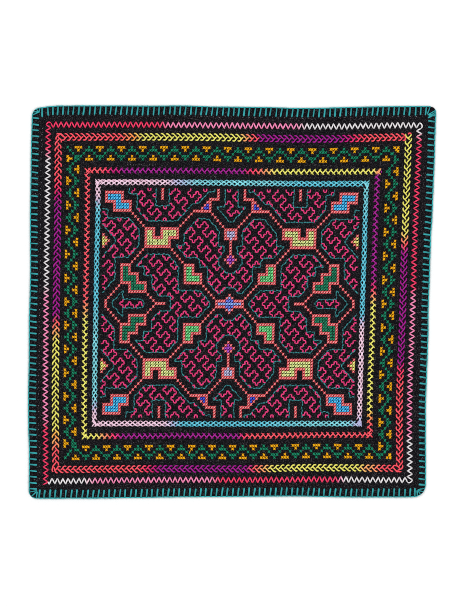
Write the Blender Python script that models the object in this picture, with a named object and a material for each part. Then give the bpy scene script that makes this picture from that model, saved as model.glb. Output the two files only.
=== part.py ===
"""Small square embroidered cloth, laid out flat.

One piece of black cotton with a narrow hem turned under all round.  The hem
band is thicker than the field, the outline wanders a little as hand-sewn cloth
does, and two soft creases cross in the middle where the cloth is kept folded
in four.  Metres, +Z up; the origin is at the centre of the underside, +Y
towards the head edge.
"""

import math

import bmesh
import bpy

# ---------------------------------------------------------------- sizes (m)
HEAD_WIDTH = 0.3801        # across the head edge (+Y), outside the edging
FOOT_WIDTH = 0.3732        # across the foot edge (-Y)
HEIGHT = 0.3684            # head edge to foot edge
HEAD_SHIFT = 0.0064        # the head edge sits this far to +X of the foot edge
HEAD_TILT = -0.0002        # rise of the head edge from left to right
FOOT_TILT = 0.0014         # rise of the foot edge from left to right

FIELD_THICK = 0.0017       # embroidered field
HEM_THICK = 0.0024         # hem band: the cloth turned under twice
HEM_WIDTH = 0.0098         # edge to the inner line of the hem
HEM_FALL = 0.0020          # slope from the band down to the field
EDGE_THICK = 0.0013        # height of the widest point of the rounded edge
EDGE_ROUND = 0.0011        # how far the band's top lies inside that point
UNDER_ROUND = 0.0006       # how far the flat underside lies inside it

CREASE_DEPTH = 0.00045     # soft troughs of the two folds
CREASE_REACH = 0.0045      # half width of a trough
SWELL = 0.00012            # unevenness of the laid field

CELL = 0.0135              # spacing of the field's rows and columns

# Corner rounding, one row a corner.
# side of X, side of Y, radius (m)
CORNERS = (
    (-1, +1, 0.0078),
    (+1, +1, 0.0056),
    (+1, -1, 0.0105),
    (-1, -1, 0.0072),
)

# Unevenness of each side, one row a station.
# how far along the side (0 to 1), how far outward of the straight line (mm)
WANDER = {
    "head": ((0.00, -1.7), (0.022, -1.55), (0.045, -0.35), (0.07, 0.3), (0.20, 0.4), (0.28, 0.2), (0.37, 0.4), (0.46, -0.6), (0.58, -1.1), (0.66, -1.95), (0.90, -0.2), (1.00, 0.0)),
    "foot": ((0.00, 0.0), (0.05, 0.0), (0.15, 0.1), (0.27, -0.3), (0.36, -0.75), (0.66, -1.2), (0.83, 0.0), (0.955, 0.1), (1.00, -0.9)),
    "left": ((0.00, 0.0), (0.11, -0.05), (0.19, 0.9), (0.24, 1.25), (0.36, 0.95), (0.45, 1.1), (0.52, 0.55), (0.58, 0.25), (0.70, 0.8), (0.86, 0.6), (1.00, -0.2)),
    "right": ((0.00, 0.0), (0.05, -0.4), (0.17, -1.6), (0.235, -2.25), (0.30, -2.0), (0.36, -1.75), (0.42, -1.6), (0.48, -2.1), (0.57, -1.75), (0.66, -1.65), (0.72, -0.8), (0.80, -0.5), (0.85, -0.1), (1.00, 0.0)),
}

# Lines of the two creases: their middles follow these ends (mm off centre).
# name, at the side's start, at the side's end
CREASES = {
    "up": (3.2, -0.4),       # runs foot to head, X offset at foot and at head
    "across": (2.6, -3.6),   # runs left to right, Y offset at left and at right
}

CLOTH_COLOUR = (0.010, 0.009, 0.011, 1.0)

MEAN_WIDTH = 0.5 * (HEAD_WIDTH + FOOT_WIDTH)
HALF_W = 0.5 * MEAN_WIDTH
HALF_H = 0.5 * HEIGHT


# ------------------------------------------------------------------ helpers
def smooth(x):
    x = min(max(x, 0.0), 1.0)
    return x * x * (3.0 - 2.0 * x)


def wander(side, along):
    """Outward offset of a side, in metres, eased between its stations."""
    rows = WANDER[side]
    along = min(max(along, 0.0), 1.0)
    for (a0, d0), (a1, d1) in zip(rows, rows[1:]):
        if along <= a1:
            return 0.001 * (d0 + (d1 - d0) * smooth((along - a0) / (a1 - a0)))
    return 0.0


def rounded(s, t):
    """Move a point of the plain rectangle so that its corners come out round."""
    for sx, sy, radius in CORNERS:
        a = (s * sx - (HALF_W - radius)) / radius
        b = (t * sy - (HALF_H - radius)) / radius
        if a > 0.0 and b > 0.0:
            a, b = min(a, 1.0), min(b, 1.0)
            a2 = a * math.sqrt(1.0 - 0.5 * b * b)
            b2 = b * math.sqrt(1.0 - 0.5 * a * a)
            return sx * (HALF_W - radius + radius * a2), sy * (HALF_H - radius + radius * b2)
    return s, t


def laid(s, t):
    """Plain rectangle to the cloth's real outline, in the plane."""
    s, t = rounded(s, t)
    u = (s + HALF_W) / (2.0 * HALF_W)
    v = (t + HALF_H) / (2.0 * HALF_H)
    width = FOOT_WIDTH + (HEAD_WIDTH - FOOT_WIDTH) * v
    x = HEAD_SHIFT * (v - 0.5) + (u - 0.5) * width
    y = t + (u - 0.5) * (FOOT_TILT + (HEAD_TILT - FOOT_TILT) * v)
    x += wander("right", v) * u - wander("left", v) * (1.0 - u)
    y += wander("head", u) * v - wander("foot", u) * (1.0 - v)
    return x, y


def crease_offset(name, along):
    start, end = CREASES[name]
    return 0.001 * (start + (end - start) * along)


def height(s, t):
    """Top of the cloth above the surface it lies on."""
    edge = min(HALF_W - abs(s), HALF_H - abs(t))
    drop = smooth((edge - (HEM_WIDTH - HEM_FALL)) / HEM_FALL)
    z = HEM_THICK + (FIELD_THICK - HEM_THICK) * drop
    for name, place, along in (("up", s, t / HALF_H), ("across", t, s / HALF_W)):
        off = place - crease_offset(name, 0.5 + 0.5 * along)
        z -= CREASE_DEPTH * (0.35 + 0.65 * drop) * math.exp(-((off / CREASE_REACH) ** 2))
    z += SWELL * drop * math.sin(31.0 * s + 9.0 * t + 0.7) * math.cos(27.0 * t - 8.0 * s)
    return z


def stations(half, crease):
    """Places of the columns or rows: hem band, even field, and a crease."""
    outer = [half, half - EDGE_ROUND, half - 0.5 * HEM_WIDTH, half - HEM_WIDTH + HEM_FALL, half - HEM_WIDTH - 0.0002]
    inner = outer[-1]
    fold = [-2.2 * CREASE_REACH, -1.1 * CREASE_REACH, 0.0, 1.1 * CREASE_REACH, 2.2 * CREASE_REACH]
    places = [-x for x in outer] + [x for x in reversed(outer)]
    span = inner - 2.2 * CREASE_REACH
    count = round(span / CELL)
    for k in range(1, count):
        x = 2.2 * CREASE_REACH + span * k / count
        places += [x, -x]
    return sorted(places + fold)


def lean(place, half, offset):
    """Slide a column or row so that it follows a crease, less and less away from it."""
    return place + offset * max(0.0, 1.0 - abs(place) / (0.6 * half))


# -------------------------------------------------------------------- build
def build_cloth():
    mesh = bpy.data.meshes.new("cloth")
    bm = bmesh.new()
    columns = stations(HALF_W, "up")
    rows = stations(HALF_H, "across")

    def design(i, j):
        s0, t0 = columns[i], rows[j]
        s = lean(s0, HALF_W, crease_offset("up", 0.5 + 0.5 * t0 / HALF_H))
        t = lean(t0, HALF_H, crease_offset("across", 0.5 + 0.5 * s0 / HALF_W))
        return s, t

    ring_places = []
    last_i, last_j = len(columns) - 1, len(rows) - 1
    ring_places += [(i, 0) for i in range(0, last_i)]
    ring_places += [(last_i, j) for j in range(0, last_j)]
    ring_places += [(i, last_j) for i in range(last_i, 0, -1)]
    ring_places += [(0, j) for j in range(last_j, 0, -1)]
    on_ring = set(ring_places)

    # The outermost ring is the widest line of the rounded edge.
    xy = {}
    for i in range(len(columns)):
        for j in range(len(rows)):
            xy[i, j] = laid(*design(i, j))
    xs = [p[0] for p in xy.values()]
    ys = [p[1] for p in xy.values()]
    mid = (0.5 * (min(xs) + max(xs)), 0.5 * (min(ys) + max(ys)))

    verts = {}
    for (i, j), (x, y) in xy.items():
        z = EDGE_THICK if (i, j) in on_ring else height(*design(i, j))
        verts[i, j] = bm.verts.new((x - mid[0], y - mid[1], z))
    for i in range(last_i):
        for j in range(last_j):
            bm.faces.new((verts[i, j], verts[i + 1, j], verts[i + 1, j + 1], verts[i, j + 1]))

    under = []
    scale_x = 1.0 - UNDER_ROUND / HALF_W
    scale_y = 1.0 - UNDER_ROUND / HALF_H
    for key in ring_places:
        x, y = xy[key]
        under.append(bm.verts.new(((x - mid[0]) * scale_x, (y - mid[1]) * scale_y, 0.0)))
    n = len(under)
    for k in range(n):
        a, b = verts[ring_places[k]], verts[ring_places[(k + 1) % n]]
        bm.faces.new((under[k], under[(k + 1) % n], b, a))
    bm.faces.new(list(reversed(under)))

    bmesh.ops.recalc_face_normals(bm, faces=bm.faces)
    bm.to_mesh(mesh)
    bm.free()
    mesh.shade_smooth()
    mesh.set_sharp_from_angle(angle=math.radians(50.0))
    return bpy.data.objects.new("cloth", mesh)


def cotton():
    material = bpy.data.materials.new("cloth")
    material.use_nodes = True
    shader = material.node_tree.nodes["Principled BSDF"]
    shader.inputs["Base Color"].default_value = CLOTH_COLOUR
    shader.inputs["Roughness"].default_value = 0.92
    shader.inputs["Metallic"].default_value = 0.0
    material.diffuse_color = CLOTH_COLOUR
    return material


def main():
    for old in list(bpy.data.objects):
        bpy.data.objects.remove(old, do_unlink=True)
    scene = bpy.context.scene
    scene.unit_settings.system = "METRIC"
    scene.unit_settings.scale_length = 1.0
    cloth = build_cloth()
    cloth.data.materials.append(cotton())
    scene.collection.objects.link(cloth)


main()
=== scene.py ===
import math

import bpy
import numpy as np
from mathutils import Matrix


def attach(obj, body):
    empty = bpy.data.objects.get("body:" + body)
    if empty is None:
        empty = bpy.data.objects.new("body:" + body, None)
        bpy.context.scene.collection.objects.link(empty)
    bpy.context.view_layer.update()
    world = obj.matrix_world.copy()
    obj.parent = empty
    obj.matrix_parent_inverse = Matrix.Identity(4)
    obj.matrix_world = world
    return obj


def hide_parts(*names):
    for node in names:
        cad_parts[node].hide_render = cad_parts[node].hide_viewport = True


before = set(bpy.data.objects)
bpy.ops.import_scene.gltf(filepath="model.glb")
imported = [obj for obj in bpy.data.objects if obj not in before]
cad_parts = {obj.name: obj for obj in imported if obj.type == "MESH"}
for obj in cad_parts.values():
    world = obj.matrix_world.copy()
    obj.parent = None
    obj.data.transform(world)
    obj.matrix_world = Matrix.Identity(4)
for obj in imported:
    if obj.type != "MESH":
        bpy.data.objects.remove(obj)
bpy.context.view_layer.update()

# Looks of the small embroidered cloth: black cotton ground with its hem, the
# teal edging, five counted borders and the stitched centre panel.
#
# Plan positions are millimetres from the cloth's centre (+X right, +Y towards
# the head edge) and are turned into metres when a mesh is made.

RNG = np.random.default_rng(20)

# =====================================================================
# 1  The cloth's outline and surface, as in the CAD model (metres)
# =====================================================================
HEAD_WIDTH, FOOT_WIDTH, HEIGHT = 0.3801, 0.3732, 0.3684
HEAD_SHIFT, HEAD_TILT, FOOT_TILT = 0.0064, -0.0002, 0.0014
HALF_W = 0.25 * (HEAD_WIDTH + FOOT_WIDTH)
HALF_H = 0.5 * HEIGHT
CORNERS = ((-1, +1, 0.0078), (+1, +1, 0.0056), (+1, -1, 0.0105), (-1, -1, 0.0072))
WANDER = {
    "head": ((0.00, -1.7), (0.022, -1.55), (0.045, -0.35), (0.07, 0.3), (0.20, 0.4), (0.28, 0.2), (0.37, 0.4), (0.46, -0.6), (0.58, -1.1), (0.66, -1.95), (0.90, -0.2), (1.00, 0.0)),
    "foot": ((0.00, 0.0), (0.05, 0.0), (0.15, 0.1), (0.27, -0.3), (0.36, -0.75), (0.66, -1.2), (0.83, 0.0), (0.955, 0.1), (1.00, -0.9)),
    "left": ((0.00, 0.0), (0.11, -0.05), (0.19, 0.9), (0.24, 1.25), (0.36, 0.95), (0.45, 1.1), (0.52, 0.55), (0.58, 0.25), (0.70, 0.8), (0.86, 0.6), (1.00, -0.2)),
    "right": ((0.00, 0.0), (0.05, -0.4), (0.17, -1.6), (0.235, -2.25), (0.30, -2.0), (0.36, -1.75), (0.42, -1.6), (0.48, -2.1), (0.57, -1.75), (0.66, -1.65), (0.72, -0.8), (0.80, -0.5), (0.85, -0.1), (1.00, 0.0)),
}
CREASES = {"up": (3.2, -0.4), "across": (2.6, -3.6)}
CREASE_DEPTH, CREASE_REACH = 0.00045, 0.0045

# Build-up of the real cloth inside that solid
EDGE_INSET = 0.00065       # the fold of the hem lies this far inside the edging
FIELD_UNDER, FIELD_TOP = 0.00035, 0.00105
HEM_UNDER, HEM_TOP = 0.00020, 0.00195
HEM_WIDTH, HEM_FALL = 0.0098, 0.0016


def smooth(x):
    x = np.clip(x, 0.0, 1.0)
    return x * x * (3.0 - 2.0 * x)


def wander(side, along):
    rows = WANDER[side]
    along = np.clip(along, 0.0, 1.0)
    out = np.zeros_like(along)
    for (a0, d0), (a1, d1) in zip(rows, rows[1:]):
        here = (along >= a0) & (along <= a1)
        out = np.where(here, 0.001 * (d0 + (d1 - d0) * smooth((along - a0) / (a1 - a0))), out)
    return out


def rounded(s, t):
    s, t = np.array(s, float), np.array(t, float)
    for sx, sy, radius in CORNERS:
        a = (s * sx - (HALF_W - radius)) / radius
        b = (t * sy - (HALF_H - radius)) / radius
        here = (a > 0.0) & (b > 0.0)
        a, b = np.clip(a, 0.0, 1.0), np.clip(b, 0.0, 1.0)
        a2 = a * np.sqrt(1.0 - 0.5 * b * b)
        b2 = b * np.sqrt(1.0 - 0.5 * a * a)
        s = np.where(here, sx * (HALF_W - radius + radius * a2), s)
        t = np.where(here, sy * (HALF_H - radius + radius * b2), t)
    return s, t


def laid_raw(s, t):
    s, t = rounded(s, t)
    u = (s + HALF_W) / (2.0 * HALF_W)
    v = (t + HALF_H) / (2.0 * HALF_H)
    width = FOOT_WIDTH + (HEAD_WIDTH - FOOT_WIDTH) * v
    x = HEAD_SHIFT * (v - 0.5) + (u - 0.5) * width
    y = t + (u - 0.5) * (FOOT_TILT + (HEAD_TILT - FOOT_TILT) * v)
    x = x + wander("right", v) * u - wander("left", v) * (1.0 - u)
    y = y + wander("head", u) * v - wander("foot", u) * (1.0 - v)
    return x, y


def outline_st(n=600):
    """The rectangle's four sides, clockwise from the head edge's left end."""
    k = np.linspace(-1.0, 1.0, n, endpoint=False)
    one = np.ones(n)
    s = np.concatenate([k * HALF_W, one * HALF_W, -k * HALF_W, -one * HALF_W])
    t = np.concatenate([one * HALF_H, -k * HALF_H, -one * HALF_H, k * HALF_H])
    return s, t


_x, _y = laid_raw(*outline_st())
MID = (0.5 * (_x.min() + _x.max()), 0.5 * (_y.min() + _y.max()))


def laid(s, t):
    x, y = laid_raw(s, t)
    return x - MID[0], y - MID[1]


def unlaid(x, y, turns=14):
    s, t = np.array(x, float), np.array(y, float)
    for _ in range(turns):
        px, py = laid(s, t)
        s = np.clip(s + 0.9 * (x - px), -HALF_W, HALF_W)
        t = np.clip(t + 0.9 * (y - py), -HALF_H, HALF_H)
    return s, t


def crease(s, t):
    """0 away from the two folds, 1 on their lines."""
    out = np.zeros_like(s)
    for name, place, along in (("up", s, t / HALF_H), ("across", t, s / HALF_W)):
        start, end = CREASES[name]
        off = place - 0.001 * (start + (end - start) * (0.5 + 0.5 * along))
        out = np.maximum(out, np.exp(-((off / CREASE_REACH) ** 2)))
    return out


def swell(s, t):
    """Unevenness of a field that is full of stitches: broad, then small."""
    z = 0.00013 * np.sin(31.0 * s + 9.0 * t + 0.7) * np.cos(27.0 * t - 8.0 * s)
    z = z + 0.00007 * np.sin(118.0 * s - 47.0 * t + 1.9) * np.sin(96.0 * t + 23.0 * s)
    z = z + 0.00005 * np.sin(263.0 * s + 171.0 * t) * np.sin(-205.0 * s + 287.0 * t + 0.6)
    return z


def edge_distance(s, t):
    return np.minimum(HALF_W - np.abs(s), HALF_H - np.abs(t))


def top_height(s, t):
    """Upper face of the cotton."""
    e = edge_distance(s, t) - EDGE_INSET
    drop = smooth((e - (HEM_WIDTH - EDGE_INSET - HEM_FALL)) / HEM_FALL)
    z = HEM_TOP + (FIELD_TOP - HEM_TOP) * drop
    z = z - CREASE_DEPTH * (0.3 + 0.7 * drop) * crease(s, t) + swell(s, t) * (0.35 + 0.65 * drop)
    roll = 0.0009
    k = np.clip(e / roll, 0.0, 1.0)
    low = 0.5 * (HEM_TOP + HEM_UNDER)
    return low + (z - low) * np.sqrt(np.clip(1.0 - (1.0 - k) ** 2, 0.0, 1.0))


def under_height(s, t):
    """Lower face of the cotton; it never goes below the ground it lies on."""
    e = edge_distance(s, t) - EDGE_INSET
    drop = smooth((e - (HEM_WIDTH - EDGE_INSET - HEM_FALL)) / HEM_FALL)
    z = HEM_UNDER + (FIELD_UNDER - HEM_UNDER) * drop
    z = z - 0.00022 * drop * crease(s, t) + 0.8 * swell(s, t) * drop
    roll = 0.0009
    k = np.clip(e / roll, 0.0, 1.0)
    high = 0.5 * (HEM_TOP + HEM_UNDER)
    return np.maximum(high + (z - high) * np.sqrt(np.clip(1.0 - (1.0 - k) ** 2, 0.0, 1.0)), 0.00008)


# Look-up of the top over the plan, one value a millimetre
_gx = np.arange(-196.0, 197.0, 1.0)
_gy = np.arange(-190.0, 191.0, 1.0)
_mx, _my = np.meshgrid(_gx * 0.001, _gy * 0.001)
_ss, _tt = unlaid(_mx, _my)
TOP_GRID = top_height(_ss, _tt) * 1000.0


def top_mm(x, y):
    """Height of the cotton's upper face under a plan point, all in mm."""
    fx = np.clip(x - _gx[0], 0.0, len(_gx) - 1.001)
    fy = np.clip(y - _gy[0], 0.0, len(_gy) - 1.001)
    ix, iy = fx.astype(int), fy.astype(int)
    fx, fy = fx - ix, fy - iy
    g = TOP_GRID
    return (g[iy, ix] * (1 - fx) + g[iy, ix + 1] * fx) * (1 - fy) + (
        g[iy + 1, ix] * (1 - fx) + g[iy + 1, ix + 1] * fx) * fy


# =====================================================================
# 2  Thread colours
# =====================================================================
GAIN = 0.86     # thread albedo for a colour as it is seen under this light


def shade(text):
    rgb = np.array([int(text[k:k + 2], 16) for k in (0, 2, 4)]) / 255.0
    lin = np.where(rgb <= 0.04045, rgb / 12.92, ((rgb + 0.055) / 1.055) ** 2.4)
    return np.clip(lin * GAIN, 0.0, 0.84)


COLOURS = {name: shade(text) for name, text in {
    "teal": "3baaae", "crimson": "f23a66", "rose": "f88aa8", "pink": "f98ab6",
    "white": "e3dfe1", "coral": "fc5664", "orange": "f9a04e", "yellow": "e5df6b",
    "purple": "a01e8c", "peach": "f7a56a", "marigold": "f4aa13", "trellis": "188361",
    "blush": "eec7db", "cyan": "54bfd5", "aqua": "76cfda", "lavender": "b4b4dc",
    "salmon": "ec5057", "sky": "2ab6f6", "lime": "dbe78a", "forest": "1c7c5a",
    "mint": "58d076", "royal": "2840d0", "powder": "80a8fc", "violet": "9e3ac0",
    "magenta": "e03a79", "fuchsia": "c81f78", "line": "358084", "hem": "8e8a94", "azure": "4666de",
}.items()}

# =====================================================================
# 3  Yarn: swept strands, gathered into joined meshes
# =====================================================================


class Piece:
    """Strands of one piece. Each strand is a closed tube that dives into the cotton at both ends."""

    def __init__(self, name, sides=6):
        self.name, self.sides, self.batches = name, sides, []

    def add(self, points, half_width, half_thick, colour, ramp=None, pale=0.0):
        """points (n, k, 3) in mm; half sizes (n, k) in mm; colour (n, 3) or (n, k, 3); ramp (k,) is painted light and
        shade along a stitch, and pale is how far its crown is painted towards white, a painted highlight."""
        points = np.asarray(points, float)
        n, k = points.shape[:2]
        if n == 0:
            return
        hw = np.broadcast_to(np.asarray(half_width, float), (n, k))
        ht = np.broadcast_to(np.asarray(half_thick, float), (n, k))
        colour = np.asarray(colour, float)
        if colour.ndim == 1:
            colour = np.broadcast_to(colour, (n, 3))
        if colour.ndim == 2:
            colour = np.broadcast_to(colour[:, None, :], (n, k, 3))
        if ramp is not None:
            ramp = np.asarray(ramp, float)[None, :, None]
            # painted highlight: where the ramp is high, the crown's colour is mixed towards white by pale
            crown = np.clip((ramp - 1.10) / 0.36, 0.0, 1.0) * pale
            colour = colour * ramp
            colour = colour + (0.80 - colour) * crown
        # the yarn is a little uneven from stitch to stitch and along it
        vary = 1.0 + RNG.normal(0.0, 0.045, (n, 1, 1)) + RNG.normal(0.0, 0.030, (n, k, 1))
        self.batches.append((points, hw, ht, np.clip(colour * vary, 0.0, 0.9)))

    def triangles(self):
        return sum(b[0].shape[0] * ((b[0].shape[1] - 1) * self.sides * 2 + 2 * (self.sides - 2)) for b in self.batches)

    def build(self, material):
        sides = self.sides
        total = sum(b[0].shape[0] for b in self.batches)
        wide = int(math.ceil(math.sqrt(total)))
        tall = int(math.ceil(total / wide))
        verts, tints, loops, starts, uv_bake, uv_yarn = [], [], [], [], [], []
        base_vert, base_loop, base_strand = 0, 0, 0
        angle = 2.0 * math.pi * (np.arange(sides) + 0.5) / sides
        for points, hw, ht, colour in self.batches:
            n, k = points.shape[:2]
            tangent = np.empty_like(points)
            tangent[:, 1:-1] = points[:, 2:] - points[:, :-2]
            tangent[:, 0] = points[:, 1] - points[:, 0]
            tangent[:, -1] = points[:, -1] - points[:, -2]
            tangent /= np.linalg.norm(tangent, axis=2, keepdims=True) + 1e-9
            flat = np.stack([-tangent[..., 1], tangent[..., 0], np.zeros((n, k))], axis=2)
            size = np.linalg.norm(flat, axis=2, keepdims=True)
            flat = np.where(size > 0.05, flat / np.maximum(size, 1e-9), 0.0)
            for j in range(1, k):      # a steep ring keeps its neighbour's direction
                lost = np.linalg.norm(flat[:, j], axis=1) < 0.5
                flat[lost, j] = flat[lost, j - 1]
            for j in range(k - 2, -1, -1):
                lost = np.linalg.norm(flat[:, j], axis=1) < 0.5
                flat[lost, j] = flat[lost, j + 1]
            up = np.cross(tangent, flat)
            ring = (points[:, :, None, :]
                    + flat[:, :, None, :] * (hw[:, :, None] * np.cos(angle))[..., None]
                    + up[:, :, None, :] * (ht[:, :, None] * np.sin(angle))[..., None])
            ring[..., 2] = np.maximum(ring[..., 2], 0.04 + 0.01 * np.sin(angle))
            verts.append(ring.reshape(-1, 3))
            tints.append(np.repeat(colour.reshape(-1, 3), sides, axis=0))
            step = np.linalg.norm(points[:, 1:] - points[:, :-1], axis=2)
            along = np.concatenate([np.zeros((n, 1)), np.cumsum(step, axis=1)], axis=1)
            fraction = along / np.maximum(along[:, -1:], 1e-9)
            along = along + RNG.uniform(0.0, 4.0, (n, 1))

            i = np.arange(n)[:, None, None]
            j = np.arange(k - 1)[None, :, None]
            m = np.arange(sides)[None, None, :]
            m2 = (m + 1) % sides
            v = base_vert + (i * k + j) * sides
            w = v + sides
            quads = np.stack([v + m, v + m2, w + m2, w + m], axis=-1).reshape(-1, 4)
            loops.append(quads.reshape(-1))
            count = quads.shape[0]
            starts.append(base_loop + 4 * np.arange(count))
            base_loop += 4 * count
            # tiles of the bake map: the tube, then its two ends
            index = base_strand + np.arange(n)
            cx, cy = (index % wide) / wide, (index // wide) / tall
            ex, ey = 1.0 / wide, 1.0 / tall
            around = np.broadcast_to(np.stack([m, m + 1, m + 1, m], axis=-1) / sides, (n, k - 1, sides, 4))
            low = np.broadcast_to(fraction[:, :-1, None, None], (n, k - 1, sides, 1))
            high = np.broadcast_to(fraction[:, 1:, None, None], (n, k - 1, sides, 1))
            length = np.concatenate([low, low, high, high], axis=-1)
            bake = np.stack([cx[:, None, None, None] + ex * (0.04 + 0.74 * around),
                             cy[:, None, None, None] + ey * (0.06 + 0.88 * length)], axis=-1)
            uv_bake.append(bake.reshape(-1, 2))
            low = np.broadcast_to(along[:, :-1, None, None], (n, k - 1, sides, 1))
            high = np.broadcast_to(along[:, 1:, None, None], (n, k - 1, sides, 1))
            uv_yarn.append(np.stack([np.concatenate([low, low, high, high], axis=-1), around], axis=-1).reshape(-1, 2))
            for end, flip in ((0, True), (k - 1, False)):
                first = base_vert + (np.arange(n) * k + end) * sides
                order = np.arange(sides)[::-1] if flip else np.arange(sides)
                loops.append((first[:, None] + order[None, :]).reshape(-1))
                starts.append(base_loop + sides * np.arange(n))
                base_loop += sides * n
                disc_x = 0.89 + 0.07 * np.cos(angle[order])
                disc_y = (0.25 if flip else 0.75) + 0.2 * np.sin(angle[order])
                uv_bake.append(np.stack([cx[:, None] + ex * disc_x[None, :], cy[:, None] + ey * disc_y[None, :]],
                                        axis=-1).reshape(-1, 2))
                uv_yarn.append(np.zeros((n * sides, 2)) + 0.1)
            base_vert += n * k * sides
            base_strand += n

        verts = np.concatenate(verts) * 0.001
        loops = np.concatenate(loops)
        starts = np.concatenate(starts)
        mesh = bpy.data.meshes.new(self.name)
        mesh.vertices.add(len(verts))
        mesh.vertices.foreach_set("co", verts.astype(np.float32).reshape(-1))
        mesh.loops.add(len(loops))
        mesh.loops.foreach_set("vertex_index", loops.astype(np.int32))
        mesh.polygons.add(len(starts))
        mesh.polygons.foreach_set("loop_start", starts.astype(np.int32))
        mesh.update(calc_edges=True)
        mesh.polygons.foreach_set("use_smooth", np.ones(len(starts), bool))
        layer = mesh.uv_layers.new(name="OFBake")
        layer.data.foreach_set("uv", np.concatenate(uv_bake).astype(np.float32).reshape(-1))
        layer = mesh.uv_layers.new(name="yarn")
        layer.data.foreach_set("uv", np.concatenate(uv_yarn).astype(np.float32).reshape(-1))
        mesh.uv_layers["OFBake"].active = True
        mesh.uv_layers["OFBake"].active_render = True
        tint = mesh.color_attributes.new("tint", "FLOAT_COLOR", "POINT")
        rgba = np.ones((len(verts), 4), np.float32)
        rgba[:, :3] = np.concatenate(tints)
        tint.data.foreach_set("color", rgba.reshape(-1))
        mesh.validate()
        obj = bpy.data.objects.new(self.name, mesh)
        bpy.context.scene.collection.objects.link(obj)
        obj.data.materials.append(material)
        return obj


# how far along a stitch its rings are, and how full the yarn is there
RINGS = np.array([0.0, 0.10, 0.28, 0.5, 0.72, 0.90, 1.0])
FULL = np.array([0.55, 0.82, 1.0, 1.0, 1.0, 0.82, 0.55])
UNDER_LEG = np.array([-0.40, 0.02, 0.26, 0.30, 0.26, 0.02, -0.40])
OVER_LEG = np.array([-0.40, 0.10, 0.52, 0.78, 0.52, 0.10, -0.40])
SINGLE = np.array([-0.40, 0.10, 0.36, 0.44, 0.36, 0.10, -0.40])
FIRST_HIGH = np.array([-0.35, 0.30, 0.86, 0.78, 0.40, 0.08, -0.40])
# painted light and shade along a stroke: lighter in its middle, darker at its ends
TAIL_PAINTED_LIGHT = np.array([0.60, 0.92, 1.22, 1.30, 0.98, 0.72, 0.50])
TAIL_FULL = np.array([0.74, 0.93, 1.0, 1.0, 1.0, 0.93, 0.74])
# painted light and shade along a stitch: its crown is painted lighter, and it is painted darker where it dives into its
# holes
CROWN = np.array([0.40, 0.62, 0.98, 1.14, 0.98, 0.62, 0.40])
LOW_CROWN = np.array([0.36, 0.60, 0.94, 1.00, 0.94, 0.60, 0.36])
HIGH_CROWN = np.array([0.36, 0.70, 1.24, 1.42, 1.24, 0.70, 0.36])
BEAD_FULL = np.array([0.58, 0.84, 1.05, 1.12, 1.05, 0.84, 0.58])
# painted light and shade for the fine line's stitches: lighter crown, darker ends
BEAD_PAINTED_LIGHT = np.array([0.40, 0.72, 1.12, 1.30, 1.12, 0.72, 0.40])


def straight(piece, a, b, colour, width, lift, thick=0.84, bow=0.0, wobble=0.06, size_jitter=0.05, ramp=CROWN, full=None, pale=0.0):
    """Straight stitches from a (n, 2) to b (n, 2), in mm. width is the yarn's, thick the share of it that its height is."""
    a, b = np.asarray(a, float), np.asarray(b, float)
    if len(a) == 0:
        return
    n = len(a)
    a = a + RNG.normal(0.0, wobble, a.shape)
    b = b + RNG.normal(0.0, wobble, b.shape)
    xy = a[:, None, :] + (b - a)[:, None, :] * RINGS[None, :, None]
    way = (b - a) / (np.linalg.norm(b - a, axis=1, keepdims=True) + 1e-9)
    side = np.stack([-way[:, 1], way[:, 0]], axis=1)
    bend = (np.asarray(bow) + RNG.normal(0.0, 0.035, n)) * np.ones(n)
    xy = xy + side[:, None, :] * (bend[:, None] * np.sin(math.pi * RINGS)[None, :])[..., None]
    z = top_mm(xy[..., 0], xy[..., 1]) + lift[None, :] * (1.0 + RNG.normal(0.0, 0.06, (n, 1)))
    points = np.concatenate([xy, z[..., None]], axis=2)
    size = width * (1.0 + RNG.normal(0.0, size_jitter, (n, 1)))
    full = (FULL if full is None else full)[None, :]
    piece.add(points, 0.5 * size * full, 0.5 * thick * size * full, colour, ramp, pale)


def curved(piece, paths, colour, width, lift, thick=0.84, rings=8, size_jitter=0.04, pinch=0.72, pale=0.0):
    """Stitches along smooth paths (n, m, 2) in mm; lift is a function of the share of length done."""
    paths = np.asarray(paths, float)
    n, m, _ = paths.shape
    u = np.linspace(0.0, m - 1.0, rings)
    i = np.clip(u.astype(int), 0, m - 2)
    f = (u - i)[None, :, None]
    p0 = paths[:, np.maximum(i - 1, 0)]
    p1, p2 = paths[:, i], paths[:, i + 1]
    p3 = paths[:, np.minimum(i + 2, m - 1)]
    xy = 0.5 * (2 * p1 + (p2 - p0) * f + (2 * p0 - 5 * p1 + 4 * p2 - p3) * f ** 2 + (3 * p1 - p0 - 3 * p2 + p3) * f ** 3)
    share = np.linspace(0.0, 1.0, rings)
    z = top_mm(xy[..., 0], xy[..., 1]) + lift(share)[None, :]
    full = 1.0 - (1.0 - pinch) * np.abs(2 * share - 1.0) ** 6
    size = width * (1.0 + RNG.normal(0.0, size_jitter, (n, 1)))
    # painted light along the stroke: lighter in its middle, darker at both ends where it dives into the cotton
    ramp = 1.14 - 0.46 * np.abs(2 * share - 1.0) ** 6
    piece.add(np.concatenate([xy, z[..., None]], axis=2), 0.5 * size * full[None, :], 0.5 * thick * size * full[None, :], colour, ramp, pale)


def crosses(piece, corners, colour, width=1.30, slope=1, pale=0.0, wobble=0.08):
    """Cross stitches. corners (n, 4, 2): foot left, foot right, head right, head left, in mm."""
    corners = np.asarray(corners, float)
    if len(corners) == 0:
        return
    if slope > 0:
        lower, upper = (0, 2), (1, 3)
    else:
        lower, upper = (1, 3), (0, 2)
    straight(piece, corners[:, lower[0]], corners[:, lower[1]], colour, width, UNDER_LEG, ramp=LOW_CROWN, pale=pale, wobble=wobble)
    straight(piece, corners[:, upper[0]], corners[:, upper[1]], colour, width, OVER_LEG, ramp=HIGH_CROWN, pale=pale, wobble=wobble)


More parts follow.
